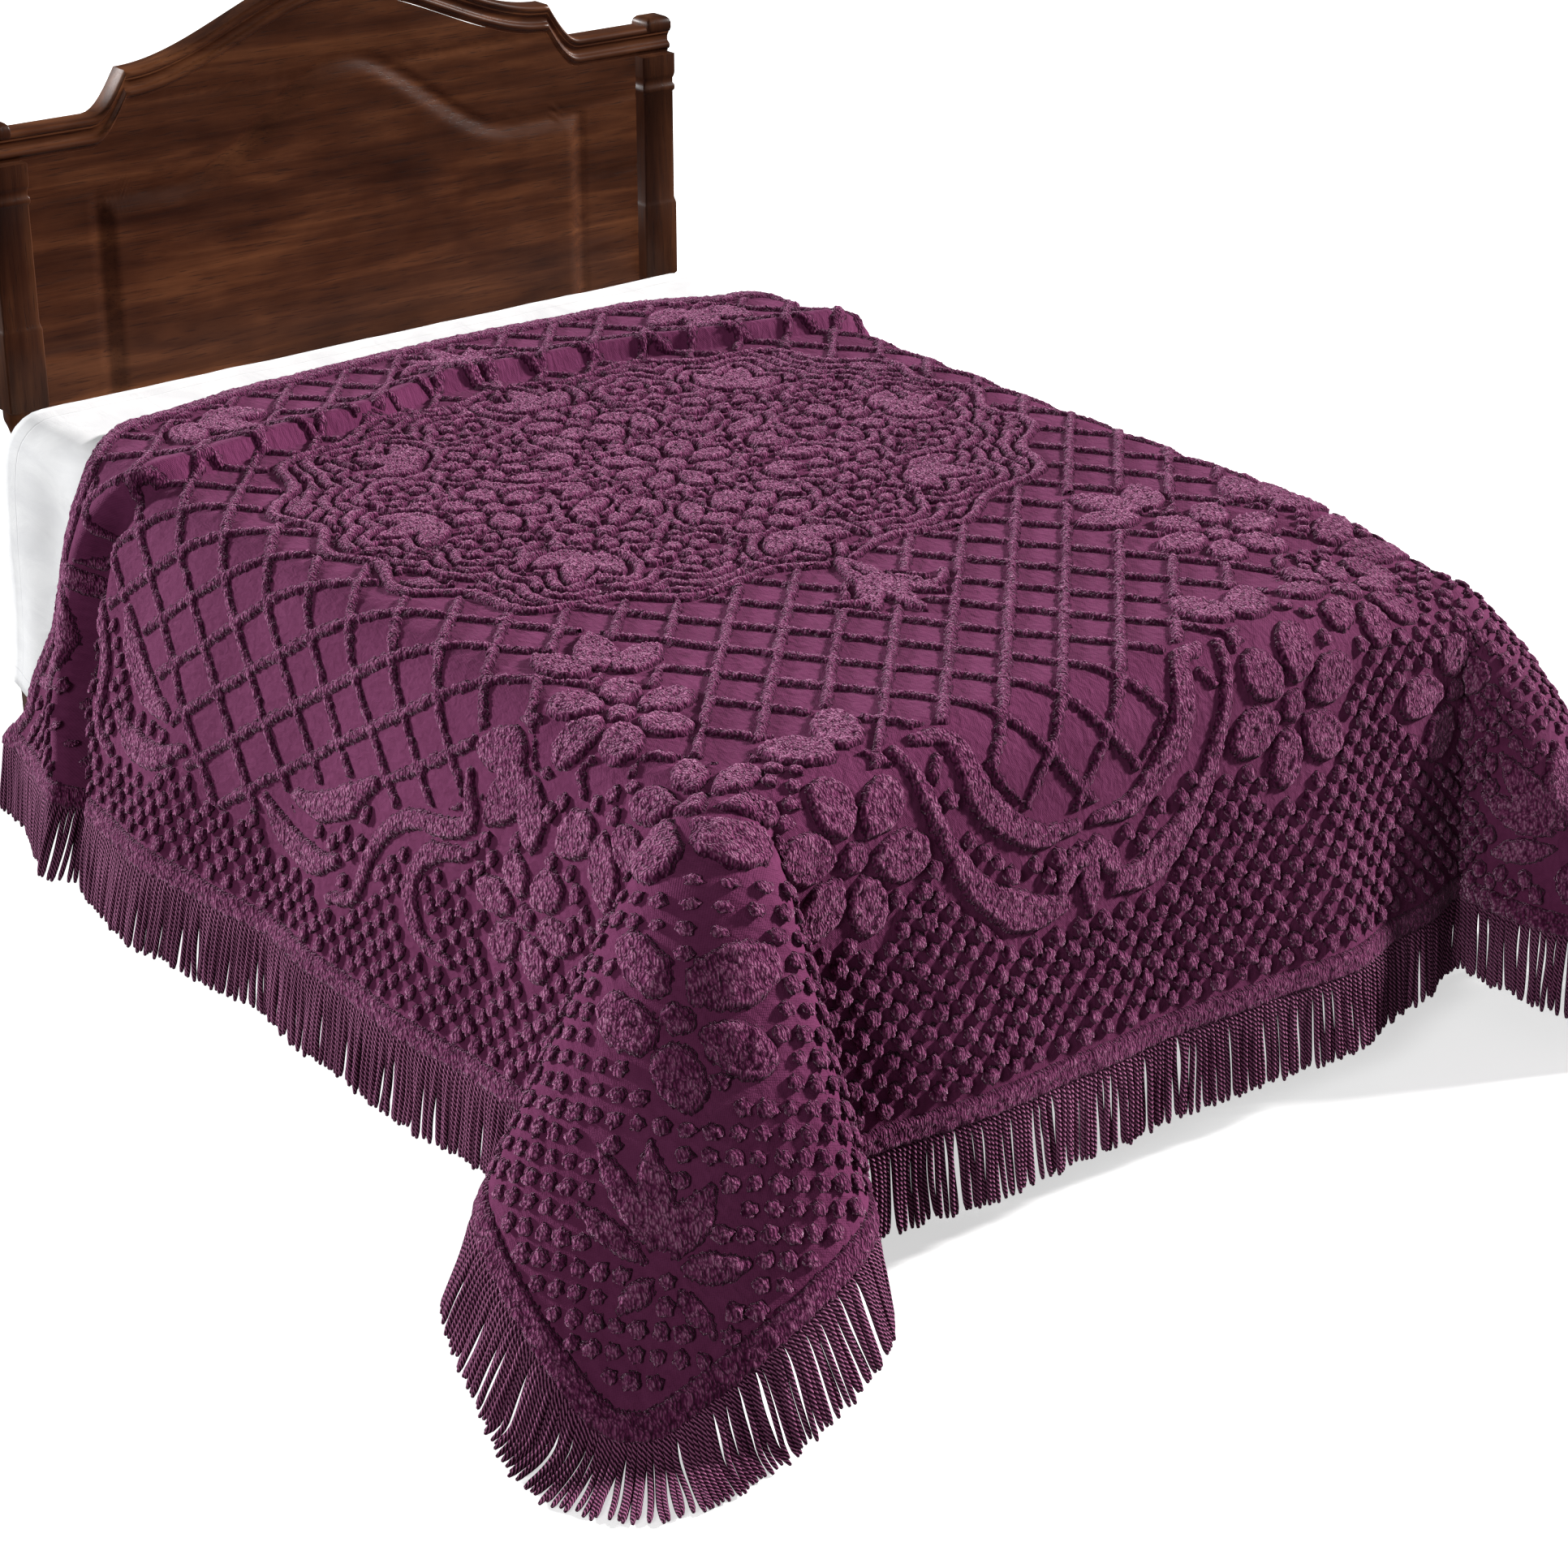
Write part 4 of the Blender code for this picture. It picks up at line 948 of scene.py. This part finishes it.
def pad_box(name, low, high, radius, dent, finish, cells, give=False):
    """An upholstered box: rounded edges, quilted dents in its top and sides, and a cord along both rims."""
    low, high = np.array(low, float), np.array(high, float)
    half, middle = (high - low) / 2, (high + low) / 2
    inner = half - radius
    parts = [pad_side(axis, side, half, inner, radius, dent, cells) for axis in range(3) for side in (-1, 1)]
    parts += [piping(level, inner, radius) for level in (-inner[2], inner[2])]
    points, faces = join(parts)
    points = points + middle
    if give:
        height = (points[:, 2] - low[2]) / (high[2] - low[2])
        points[:, 2] -= corner_give(points[:, 0], points[:, 1]) * smooth(height)
    return make(name, points + PLACE, faces, finish)


# ---------------------------------------------------------------- the headboard

def crest_line(x):
    """Height of the headboard's top edge: an ogee arch, a cove beside each shoulder, level ends."""
    out = np.abs(x)
    arch = SHOULDER_HEIGHT + (PEAK_HEIGHT - SHOULDER_HEIGHT) * smooth(1 - out / SHOULDER)
    share = np.clip((out - SHOULDER) / COVE, 0, 1)
    cove = EAR_HEIGHT + (SHOULDER_HEIGHT - EAR_HEIGHT) * (1 - np.sin(share * math.pi / 2))
    return np.where(out <= SHOULDER, arch, cove)


CREST_PROFILE = (              # forward of the board's middle, and down from its top edge
    (-0.0225, -0.0025), (-0.0200, 0.0), (0.0150, 0.0), (0.0192, -0.0012), (0.0218, -0.0040),
    (0.0225, -0.0072), (0.0217, -0.0104), (0.0192, -0.0132), (0.0168, -0.0140), (0.0168, -0.0166),
    (0.0146, -0.0186), (0.0130, -0.0220), (0.0124, -0.0262), (0.0130, -0.0300), (0.0146, -0.0322),
    (0.0172, -0.0334), (0.0192, -0.0358), (0.0199, -0.0390), (0.0190, -0.0422), (0.0168, -0.0446),
    (0.0142, -0.0454), (0.0134, -0.0470), (0.0130, -0.0498), (-0.0225, -0.0498),
)


def make_crest(finish):
    """The moulding along the headboard's top: a bead, a cove and a lesser bead, mitred at the shoulders."""
    arch = np.linspace(0, SHOULDER, 42)
    cove = SHOULDER + COVE * (1 - np.cos(np.linspace(0, math.pi / 2, 12)))[1:]
    half = np.concatenate((arch, cove, np.linspace(SHOULDER + COVE, POST_OUT, 8)[1:]))
    stops = np.concatenate((-half[:0:-1], half))
    profile = np.array(CREST_PROFILE)
    points = np.zeros((stops.size, len(profile), 3))
    points[..., 0] = stops[:, None]
    points[..., 1] = BOARD_MIDDLE - profile[:, 0]
    points[..., 2] = crest_line(stops)[:, None] + profile[:, 1]
    faces = walls(*points.shape[:2])[:, (0, 3, 2, 1)]
    return make_solid("crest_moulding", points, faces, finish, 38, backward=True)


def make_solid(name, rings, faces, finish, crisp, backward=False):
    """A piece of wood from rings of points, its two ends closed and its edges past an angle crisp."""
    count, sides = rings.shape[:2]
    piece = make(name, rings.reshape(-1, 3) + PLACE, faces, finish)
    shape = bmesh.new()
    shape.from_mesh(piece.data)
    shape.verts.ensure_lookup_table()
    ends = range(sides - 1, -1, -1), range((count - 1) * sides, count * sides)
    for end in ends:
        shape.faces.new([shape.verts[n] for n in (end[::-1] if backward else end)])
    shape.to_mesh(piece.data)
    shape.free()
    return sharpen(piece, crisp)


def sharpen(piece, degrees):
    """Keeps edges crisp past an angle."""
    piece.data.shade_smooth()
    piece.data.set_sharp_from_angle(angle=math.radians(degrees))
    return piece


def field_room(x, z):
    """Distance in from the edge of the headboard's raised field, whose top is arched."""
    top = 0.985 + 0.165 * smooth(1 - np.abs(x) / 0.33)
    slope = 1 + 0.45 * smooth(1 - np.abs(np.abs(x) - 0.165) / 0.165)
    return np.minimum(np.minimum(0.475 - np.abs(x), (top - z) / slope), z - 0.40)


def make_panel(finish):
    """The headboard's panel: boards across it, and a raised field with a sunk bevel round it."""
    inside = POST_OUT - POST_SIDE - 0.0003
    x = np.linspace(-inside, inside, 151)
    share = np.linspace(0, 1, 110)[:, None]
    top = crest_line(x) - CREST_DEPTH - 0.0006
    z = PANEL_BOTTOM + (top - PANEL_BOTTOM) * share
    across = np.tile(x, (share.size, 1))
    room = field_room(across, z)
    raised = 0.0075 * smooth((room - 0.004) / 0.026) - 0.0035 * np.exp(-((room + 0.001) / 0.0045) ** 2)
    boards = np.abs((z - 0.35 + 0.065) % 0.130 - 0.065)
    raised = raised - 0.0022 * np.exp(-(boards / 0.0040) ** 2) * smooth((-room - 0.006) / 0.01)
    front = np.stack((across, BOARD_MIDDLE - PANEL_THICK / 2 - raised, z), -1)
    back = np.stack((across, np.full(across.shape, BOARD_MIDDLE + PANEL_THICK / 2), z), -1)
    points = np.concatenate((front.reshape(-1, 3), back.reshape(-1, 3)))
    return sharpen(make("headboard_panel", points + PLACE, shell(*across.shape), finish), 50)


def make_bedpost(name, side, finish):
    """A post: square foot, turned length of ring, vase and ball, square shaft with a plinth and a collar."""
    middle = np.array((side * (POST_OUT - POST_SIDE / 2), BOARD_MIDDLE, 0.0))
    half = POST_SIDE / 2
    foot = (0.0, half - 0.002), (0.002, half), (FOOT_BLOCK_TOP - 0.006, half), (FOOT_BLOCK_TOP, half - 0.004)
    profile, _ = spline(TURNING, 0.004)
    turn = 2 * math.pi * np.arange(36) / 36
    turning = np.stack((profile[:, 1:] * np.cos(turn), profile[:, 1:] * np.sin(turn),
                        profile[:, :1] * np.ones(36)), -1)
    narrow, lip = half - 0.0028, half - 0.0005
    shaft = ((TURNED_TOP, half - 0.005), (TURNED_TOP + 0.006, half), (0.795, half), (0.800, half - 0.0012),
             (0.806, narrow), (1.000, narrow), (1.003, lip), (1.007, half), (1.012, lip),
             (1.015, narrow), (1.024, narrow), (1.028, half - 0.0010), (1.034, half), (POST_TOP, half))
    points, faces = join((loft(eased_square(foot, 0.003)), loft(turning), loft(eased_square(shaft, 0.0026))))
    return sharpen(make(name, points + middle + PLACE, faces, finish), 40)


def make_ear(name, side, finish):
    """The small block that ends the crest over a post."""
    middle = np.array((side * (POST_OUT - 0.026), BOARD_MIDDLE, 0.0))
    rows = ((1.108, 0.0245), (1.111, 0.0262), (1.121, 0.0262), (1.127, 0.0245), (1.1315, 0.0200),
            (1.133, 0.0120))
    rings = eased_square(rows, 0.004) + middle
    return make_solid(name, rings, walls(*rings.shape[:2]), finish, 35)


# ---------------------------------------------------------------- finishes

def sum_of(operation, swapped=False):
    """The arithmetic of a value and another number or value, which comes first if they are swapped."""
    def work(self, other=0.0):
        return self.maths(operation, *((other, self) if swapped else (self, other)))
    return work


class Value:
    """A socket in a finish, on which arithmetic adds the nodes that work it out."""

    def __init__(self, finish, socket):
        self.finish, self.socket = finish, socket

    def maths(self, operation, first, second):
        """A node of arithmetic, on vectors if either number is one."""
        kind, pair = "Math", (first, second)
        if any(isinstance(each, Value) and each.socket.type == "VECTOR" for each in pair):
            kind = "VectorMath"
            pair = [(each,) * 3 if isinstance(each, (int, float)) else each for each in pair]
        return self.finish.node(kind, {"operation": operation}, dict(enumerate(pair)))

    __add__, __radd__ = sum_of("ADD"), sum_of("ADD", swapped=True)
    __sub__, __rsub__ = sum_of("SUBTRACT"), sum_of("SUBTRACT", swapped=True)
    __mul__, __rmul__ = sum_of("MULTIPLY"), sum_of("MULTIPLY", swapped=True)
    __pow__, sine, size = sum_of("POWER"), sum_of("SINE"), sum_of("ABSOLUTE")
    least, most = sum_of("MINIMUM"), sum_of("MAXIMUM")

    def between(self, low, high, start=0.0, end=1.0):
        """Eases from start to end as the value goes from low to high."""
        sockets = {"Value": self, "From Min": low, "From Max": high, "To Min": start, "To Max": end}
        return self.finish.node("MapRange", {"interpolation_type": "SMOOTHSTEP"}, sockets)


class Finish:
    """A material, and the one way in which its nodes are added."""

    def __init__(self, name, sheen=0.0, sheen_roughness=0.5, sheen_tint=(1, 1, 1), coat=0.0, specular=0.5):
        self.material = bpy.data.materials.new(name)
        self.material.use_nodes = True
        self.nodes, self.links = self.material.node_tree.nodes, self.material.node_tree.links
        self.shader = self.nodes["Principled BSDF"]
        for socket, value in (("Sheen Weight", sheen), ("Sheen Roughness", sheen_roughness),
                              ("Sheen Tint", (*sheen_tint, 1.0)), ("Coat Weight", coat),
                              ("Coat Roughness", 0.25), ("Specular IOR Level", specular)):
            self.shader.inputs[socket].default_value = value

    def node(self, kind, settings, sockets, output=0):
        made = self.nodes.new("ShaderNode" + kind)
        for name, value in settings.items():
            if name == "stops":
                while len(made.color_ramp.elements) < len(value):
                    made.color_ramp.elements.new(1.0)
                for element, (place, colour) in zip(made.color_ramp.elements, value):
                    element.position, element.color = place, (*colour, 1.0)
            else:
                setattr(made, name, value)
        for name, value in sockets.items():
            self.feed(made.inputs[name], value)
        return Value(self, made.outputs[output])

    def feed(self, socket, value):
        if isinstance(value, Value):
            self.links.new(value.socket, socket)
        else:
            socket.default_value = value

    def mix(self, share, first, second):
        """One colour into a second by a share."""
        return self.node("Mix", {"data_type": "RGBA"}, {0: share, 6: first, 7: (*second, 1.0)}, 2)

    def ramp(self, value, *stops):
        return self.node("ValToRGB", {"stops": stops}, {0: value})

    def stretched(self, where, scale):
        return self.node("VectorMath", {"operation": "MULTIPLY"}, {0: where, 1: scale})

    def place(self, scale=(1.0, 1.0, 1.0)):
        """Where on the piece, in metres, stretched."""
        return self.stretched(self.node("TexCoord", {}, {}, "Object"), scale)

    def flat(self, name="flat", scale=(1.0, 1.0, 1.0)):
        """Where on the flat cloth, or what else a UV map holds, stretched."""
        return self.stretched(self.node("UVMap", {"uv_map": name}, {}), scale)

    def noise(self, where, scale, detail=3.0, roughness=0.5, distortion=0.0, output=0):
        return self.node("TexNoise", {}, {"Vector": where, "Scale": scale, "Detail": detail,
                                          "Roughness": roughness, "Distortion": distortion}, output)

    def cells(self, where, scale):
        """The distance to the nearest of scattered points."""
        return self.node("TexVoronoi", {}, {"Vector": where, "Scale": scale}, "Distance")

    def parts(self, where):
        split = self.node("SeparateXYZ", {}, {0: where})
        return split, Value(self, split.socket.node.outputs[1]), Value(self, split.socket.node.outputs[2])

    def attribute(self, name):
        return self.node("Attribute", {"attribute_name": name}, {}, "Fac")

    def bump(self, height, distance, strength=1.0, under=None):
        sockets = {"Strength": strength, "Distance": distance, "Height": height}
        return self.node("Bump", {}, sockets if under is None else {**sockets, "Normal": under})

    def done(self, colour, roughness, normal):
        for name, value in (("Base Color", colour), ("Roughness", roughness), ("Normal", normal)):
            self.feed(self.shader.inputs[name], value)
        return self.material


PLUM_SHEEN = {"sheen_roughness": 0.40, "sheen_tint": (1.0, 0.60, 0.82)}
TURN, COARSE_WEAVE, FINE_WEAVE = 6.2832, 2513.0, 3000.0    # radians to a turn, and to a metre of each weave
MAHOGANY = ((0.0, (0.030, 0.0085, 0.0040)), (0.40, (0.085, 0.0270, 0.0110)),
            (0.75, (0.165, 0.0580, 0.0225)), (1.0, (0.260, 0.1050, 0.0420)))


def chenille_finish():
    """Cut pile: rounded tufts of fine strands, with painted shade in the gaps and a painted highlight at the
    tips.
    """
    made = Finish("chenille pile", sheen=0.34, **PLUM_SHEEN, specular=0.02)
    where = made.place((1.0, 0.62, 0.42))
    wander = where + made.noise(made.place(), 70.0, 2.0, output="Color") * 0.0085
    ends = made.cells(wander, 350.0)
    clumps = made.cells(made.place((1.0, 0.8, 0.7)), 125.0)
    crown = 1 - ends * 1.25
    tip = made.attribute("tip")
    patches = made.noise(made.place(), 4.5, 3.0)
    # painted light and shade: lighter at the pile's tips and the strands' crowns, darker low in the pile and
    # in the gaps between strands and clumps
    lit = tip * 0.50 + (crown - 0.5) * 0.62 - clumps * 0.24 + (patches - 0.5) * 0.22 + 0.27
    lit = lit.between(0.02, 1.0)
    # the darkest stop is the painted shade of the gaps, the lightest the painted highlight of the tips
    colour = made.ramp(lit, (0.0, (0.034, 0.0038, 0.0190)), (0.34, (0.108, 0.0180, 0.064)),
                       (0.66, (0.218, 0.056, 0.137)), (1.0, (0.430, 0.186, 0.308)))
    height = crown * 0.8 + (1 - clumps) * 0.5
    return made.done(colour, lit.between(0.0, 1.0, 0.95, 0.80), made.bump(height, 0.0050, 1.0))


def ground_finish():
    """The plain-woven ground between the tufts, puckered by them."""
    made = Finish("chenille ground", sheen=0.05, **PLUM_SHEEN, specular=0.04)
    flat = made.flat()
    across, along, _ = made.parts(flat)
    weave = (across * COARSE_WEAVE).sine() * (along * COARSE_WEAVE).sine()
    puckers = made.noise(made.stretched(flat, (1.0, 0.62, 1.0)), 95.0, 3.0, 0.55, 0.4)
    patches = made.noise(flat, 5.0, 3.0)
    slubs = made.noise(made.stretched(flat, (0.12, 1.0, 1.0)), 900.0, 2.0)
    # painted shade: the colour follows the puckers' relief, darker in their hollows and lighter on their
    # crests
    tone = 0.5 + weave * 0.10 + (puckers - 0.5) * 0.5 + (patches - 0.5) * 0.7 + (slubs - 0.5) * 0.3
    tone = tone.between(0.0, 1.0)
    colour = made.ramp(tone, (0.0, (0.084, 0.0138, 0.048)), (1.0, (0.168, 0.0365, 0.102)))
    creases = made.bump(puckers, 0.0042, 0.85)
    return made.done(colour, tone.between(0.0, 1.0, 0.86, 0.74),
                     made.bump(weave + slubs, 0.00035, 0.6, creases))


def cord_finish():
    """Two-ply twisted cord: slanting plies with a shadow between them."""
    made = Finish("twisted cord", sheen=0.06, **PLUM_SHEEN, specular=0.08)
    around, down, _ = made.parts(made.flat("twist"))
    ply = ((around * 4 + down * 150.0) * TURN).sine() * 0.5 + 0.5
    lint = made.noise(made.place(), 700.0, 2.0)
    patches = made.noise(made.place(), 9.0, 2.0)
    tone = (ply * 0.75 + (lint - 0.5) * 0.35 + (patches - 0.5) * 0.5).between(0.0, 0.95)
    colour = made.ramp(tone, (0.0, (0.018, 0.0022, 0.0105)), (0.5, (0.150, 0.030, 0.092)),
                       (1.0, (0.380, 0.145, 0.262)))
    return made.done(colour, 0.80, made.bump(ply ** 0.6 + lint * 0.2, 0.0022, 1.0))


def cotton_finish():
    """White percale: a fine weave, faint creases and a stitched hem."""
    made = Finish("white cotton", sheen=0.15, specular=0.25)
    flat = made.flat()
    across, along, _ = made.parts(flat)
    weave = (across * FINE_WEAVE).sine() * (along * FINE_WEAVE).sine()
    creases = made.noise(made.stretched(flat, (1.0, 0.45, 1.0)), 16.0, 5.0, 0.55, 0.8)
    edge = (across.size() - (SHEET_HALF + SHEET_DROP - 0.028)).size()
    head = (along - (SHEET_HEAD - 0.045)).size()
    stitch = edge.least(head).between(0.0, 0.0022, 1.0, 0.0)
    # painted shade: the colour follows the creases' relief, darker in their hollows
    colour = made.ramp((creases + weave * 0.04 - stitch * 0.25).between(0.2, 0.8),
                       (0.0, (0.54, 0.54, 0.55)), (1.0, (0.64, 0.64, 0.64)))
    soft = made.bump(creases, 0.006, 0.35)
    return made.done(colour, 0.82, made.bump(weave * 0.5 - stitch * 4, 0.0003, 0.5, soft))


def ticking_finish():
    """Mattress ticking: off-white twill with narrow grey-blue stripes."""
    made = Finish("ticking", sheen=0.1, specular=0.25)
    across, along, up = made.parts(made.place())
    wave = across * 157.0
    stripe = wave.sine().between(0.90, 0.97).most((wave + 0.9).sine().between(0.975, 0.995))
    twill = ((across + along + up) * 2800.0).sine()
    wear = made.noise(made.place(), 7.0, 4.0)
    colour = made.mix(stripe * 0.75, made.ramp(wear, (0.3, (0.66, 0.64, 0.58)), (0.7, (0.76, 0.74, 0.69))),
                      (0.19, 0.22, 0.30))
    return made.done(colour, 0.88, made.bump(twill, 0.0003, 0.5))


def mahogany_finish(name, along, tint):
    """Polished mahogany: long streaks and short dark pores along the board, under a worn coat."""
    made = Finish(name, coat=0.04, specular=0.08)

    def grain(share, *noise):
        """Noise drawn out along the board."""
        return made.noise(made.place(tuple(share if axis else 1.0 for axis in along)), *noise)

    streaks, figure = grain(0.055, 26.0, 5.0, 0.62, 0.9), grain(0.30, 6.5, 3.0, 0.5, 1.2)
    pores = grain(0.05, 420.0, 2.0, 0.6)
    wear = made.noise(made.place(), 11.0, 5.0, 0.6)
    tone = (streaks * 0.62 + figure * 0.55 + (wear - 0.5) * 0.15 - 0.10).between(0.22, 0.85)
    colour = made.ramp(tone, *((place, tuple(part * tint for part in shade)) for place, shade in MAHOGANY))
    dark = pores.between(0.56, 0.70)
    colour = made.mix(dark * 0.55, colour, (0.010, 0.0035, 0.0020))
    return made.done(colour, wear * 0.22 + dark * 0.12 + 0.30,
                     made.bump(streaks * 0.3 - dark * 0.5 + wear * 0.25, 0.0006, 0.35))


def floor_finish():
    """Pale paper, which glows a little so that shadows on it stay light."""
    made = Finish("pale floor", specular=0.2)
    made.shader.inputs["Emission Color"].default_value = (1.0, 1.0, 1.0, 1.0)
    made.shader.inputs["Emission Strength"].default_value = 0.60
    cloudy = made.noise(made.place(), 0.8, 3.0)
    return made.done(made.ramp(cloudy, (0.35, (0.83, 0.83, 0.83)), (0.65, (0.86, 0.86, 0.86))), 0.9,
                     made.bump(made.noise(made.place(), 60.0, 3.0), 0.0004, 0.2))


# ---------------------------------------------------------------- the bed, made up

LIE = work_out_lie()
MOTIFS = rosette() + wreath()

pile, ground, cord = chenille_finish(), ground_finish(), cord_finish()
cotton, ticking = cotton_finish(), ticking_finish()
board = mahogany_finish("mahogany board", (1, 0, 0), 0.72)
upright = mahogany_finish("mahogany upright", (0, 0, 1), 0.50)
rail = mahogany_finish("mahogany rail", (0, 1, 0), 0.65)

spread = make_ground(ground)
tufting = [
    make_pile("tufts_rosette", (PART_LEFT, PART_FOOT), (PART_RIGHT, PART_HEAD), 0.0032, pile),
    make_pile("tufts_head", (PART_LEFT, PART_HEAD), (PART_RIGHT, PILE_HEAD), 0.0042, pile),
    make_pile("tufts_left", (-PILE_SIDE, PILE_FOOT), (PART_LEFT, PILE_HEAD), 0.0037, pile),
    make_pile("tufts_right", (PART_RIGHT, PILE_FOOT), (PILE_SIDE, PILE_HEAD), 0.0039, pile),
    make_pile("tufts_foot", (PART_LEFT, PILE_FOOT), (PART_RIGHT, PART_FOOT), 0.0036, pile),
]
dots = make_dots(pile)
hem = cord_places()
to_left, to_right = hem[:, 2] <= -0.7, hem[:, 2] >= 0.7
cords = [make_cords("fringe_left", hem[to_left], cord),
         make_cords("fringe_foot", hem[~to_left & ~to_right], cord),
         make_cords("fringe_right", hem[to_right], cord)]
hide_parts("bedspread")
for piece in cords:
    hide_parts("fringe")

sheet = make_sheet(cotton)
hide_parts("sheet")

mattress = pad_box("mattress_pad", (-MATTRESS_WIDTH / 2, 0, MATTRESS_TOP - MATTRESS_DEPTH),
                   (MATTRESS_WIDTH / 2, MATTRESS_LENGTH, MATTRESS_TOP), EDGE_RADIUS, 0.004, ticking,
                   cells=0.045, give=True)
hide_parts("mattress")
spring_low, spring_high = (np.array(corner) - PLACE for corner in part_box("box_spring"))
spring = pad_box("spring_pad", spring_low, spring_high, 0.022, 0.0015, ticking, cells=0.050)
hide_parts("box_spring")

panel, crest = make_panel(board), make_crest(board)
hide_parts("headboard")
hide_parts("crest")
headboard = [panel, crest]
for side, word in ((-1, "left"), (1, "right")):
    post = make_bedpost("bedpost_" + word, side, upright)
    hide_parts("post_" + word)
    headboard += [post, make_ear("ear_" + word, side, upright)]
for piece in headboard:
    piece.visible_shadow = False           # so that the lamp behind the headboard lights the whole bed
for name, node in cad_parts.items():
    if name.startswith(("rail", "slat", "leg")):
        wood = upright if name.startswith("leg") else rail
        if name.startswith("slat") or name == "rail_foot":
            wood = board
        for held in node.material_slots:
            held.material = wood

# ---------------------------------------------------------------- floor, light and camera

reach = 95.0
floor = make("floor", [(x * reach, y * reach, 0) for x, y in ((-1, -1), (1, -1), (1, 1), (-1, 1))],
             ((0, 1, 2, 3),), floor_finish())
floor.visible_diffuse = floor.visible_glossy = False     # so that it throws no light up under the cloth

world = bpy.data.worlds.new("studio")
bpy.context.scene.world = world
world.use_nodes = True
sky = world.node_tree
sky.nodes["Background"].inputs["Color"].default_value = (1.0, 1.0, 1.0, 1.0)
seen, strength = (sky.nodes.new("ShaderNode" + kind) for kind in ("LightPath", "MapRange"))
strength.inputs["To Min"].default_value = 0.12           # how much it lights; as a backdrop it is white
sky.links.new(seen.outputs["Is Camera Ray"], strength.inputs["Value"])
sky.links.new(strength.outputs["Result"], sky.nodes["Background"].inputs["Strength"])
bpy.context.scene.view_settings.view_transform = "Standard"


def shine(name, way, angle, power, colour=(1.0, 1.0, 1.0)):
    """A soft far lamp that shines from a direction."""
    lamp = bpy.data.lights.new(name, "SUN")
    lamp.angle, lamp.energy, lamp.color = math.radians(angle), power, colour
    made = bpy.data.objects.new(name, lamp)
    bpy.context.scene.collection.objects.link(made)
    made.rotation_euler = Vector(way).to_track_quat("Z", "Y").to_euler()


shine("right", (0.95, -0.26, 0.41), 6.0, 7.5, (1.0, 0.98, 0.97))
shine("head", (-0.46, 0.86, 0.21), 6.0, 5.4, (0.98, 0.99, 1.0))
shine("front", (-0.90, -0.36, 0.45), 20.0, 1.25)

lens = bpy.data.cameras.new("camera")
lens.lens, lens.sensor_width = 78.54, 36.0
camera = bpy.data.objects.new("camera", lens)
bpy.context.scene.collection.objects.link(camera)
camera.location = PLACE + np.array((-2.934, -3.010, 2.432))
camera.rotation_euler = (math.pi / 2 - 0.4303, 0.0, -0.6627)
bpy.context.scene.camera = camera
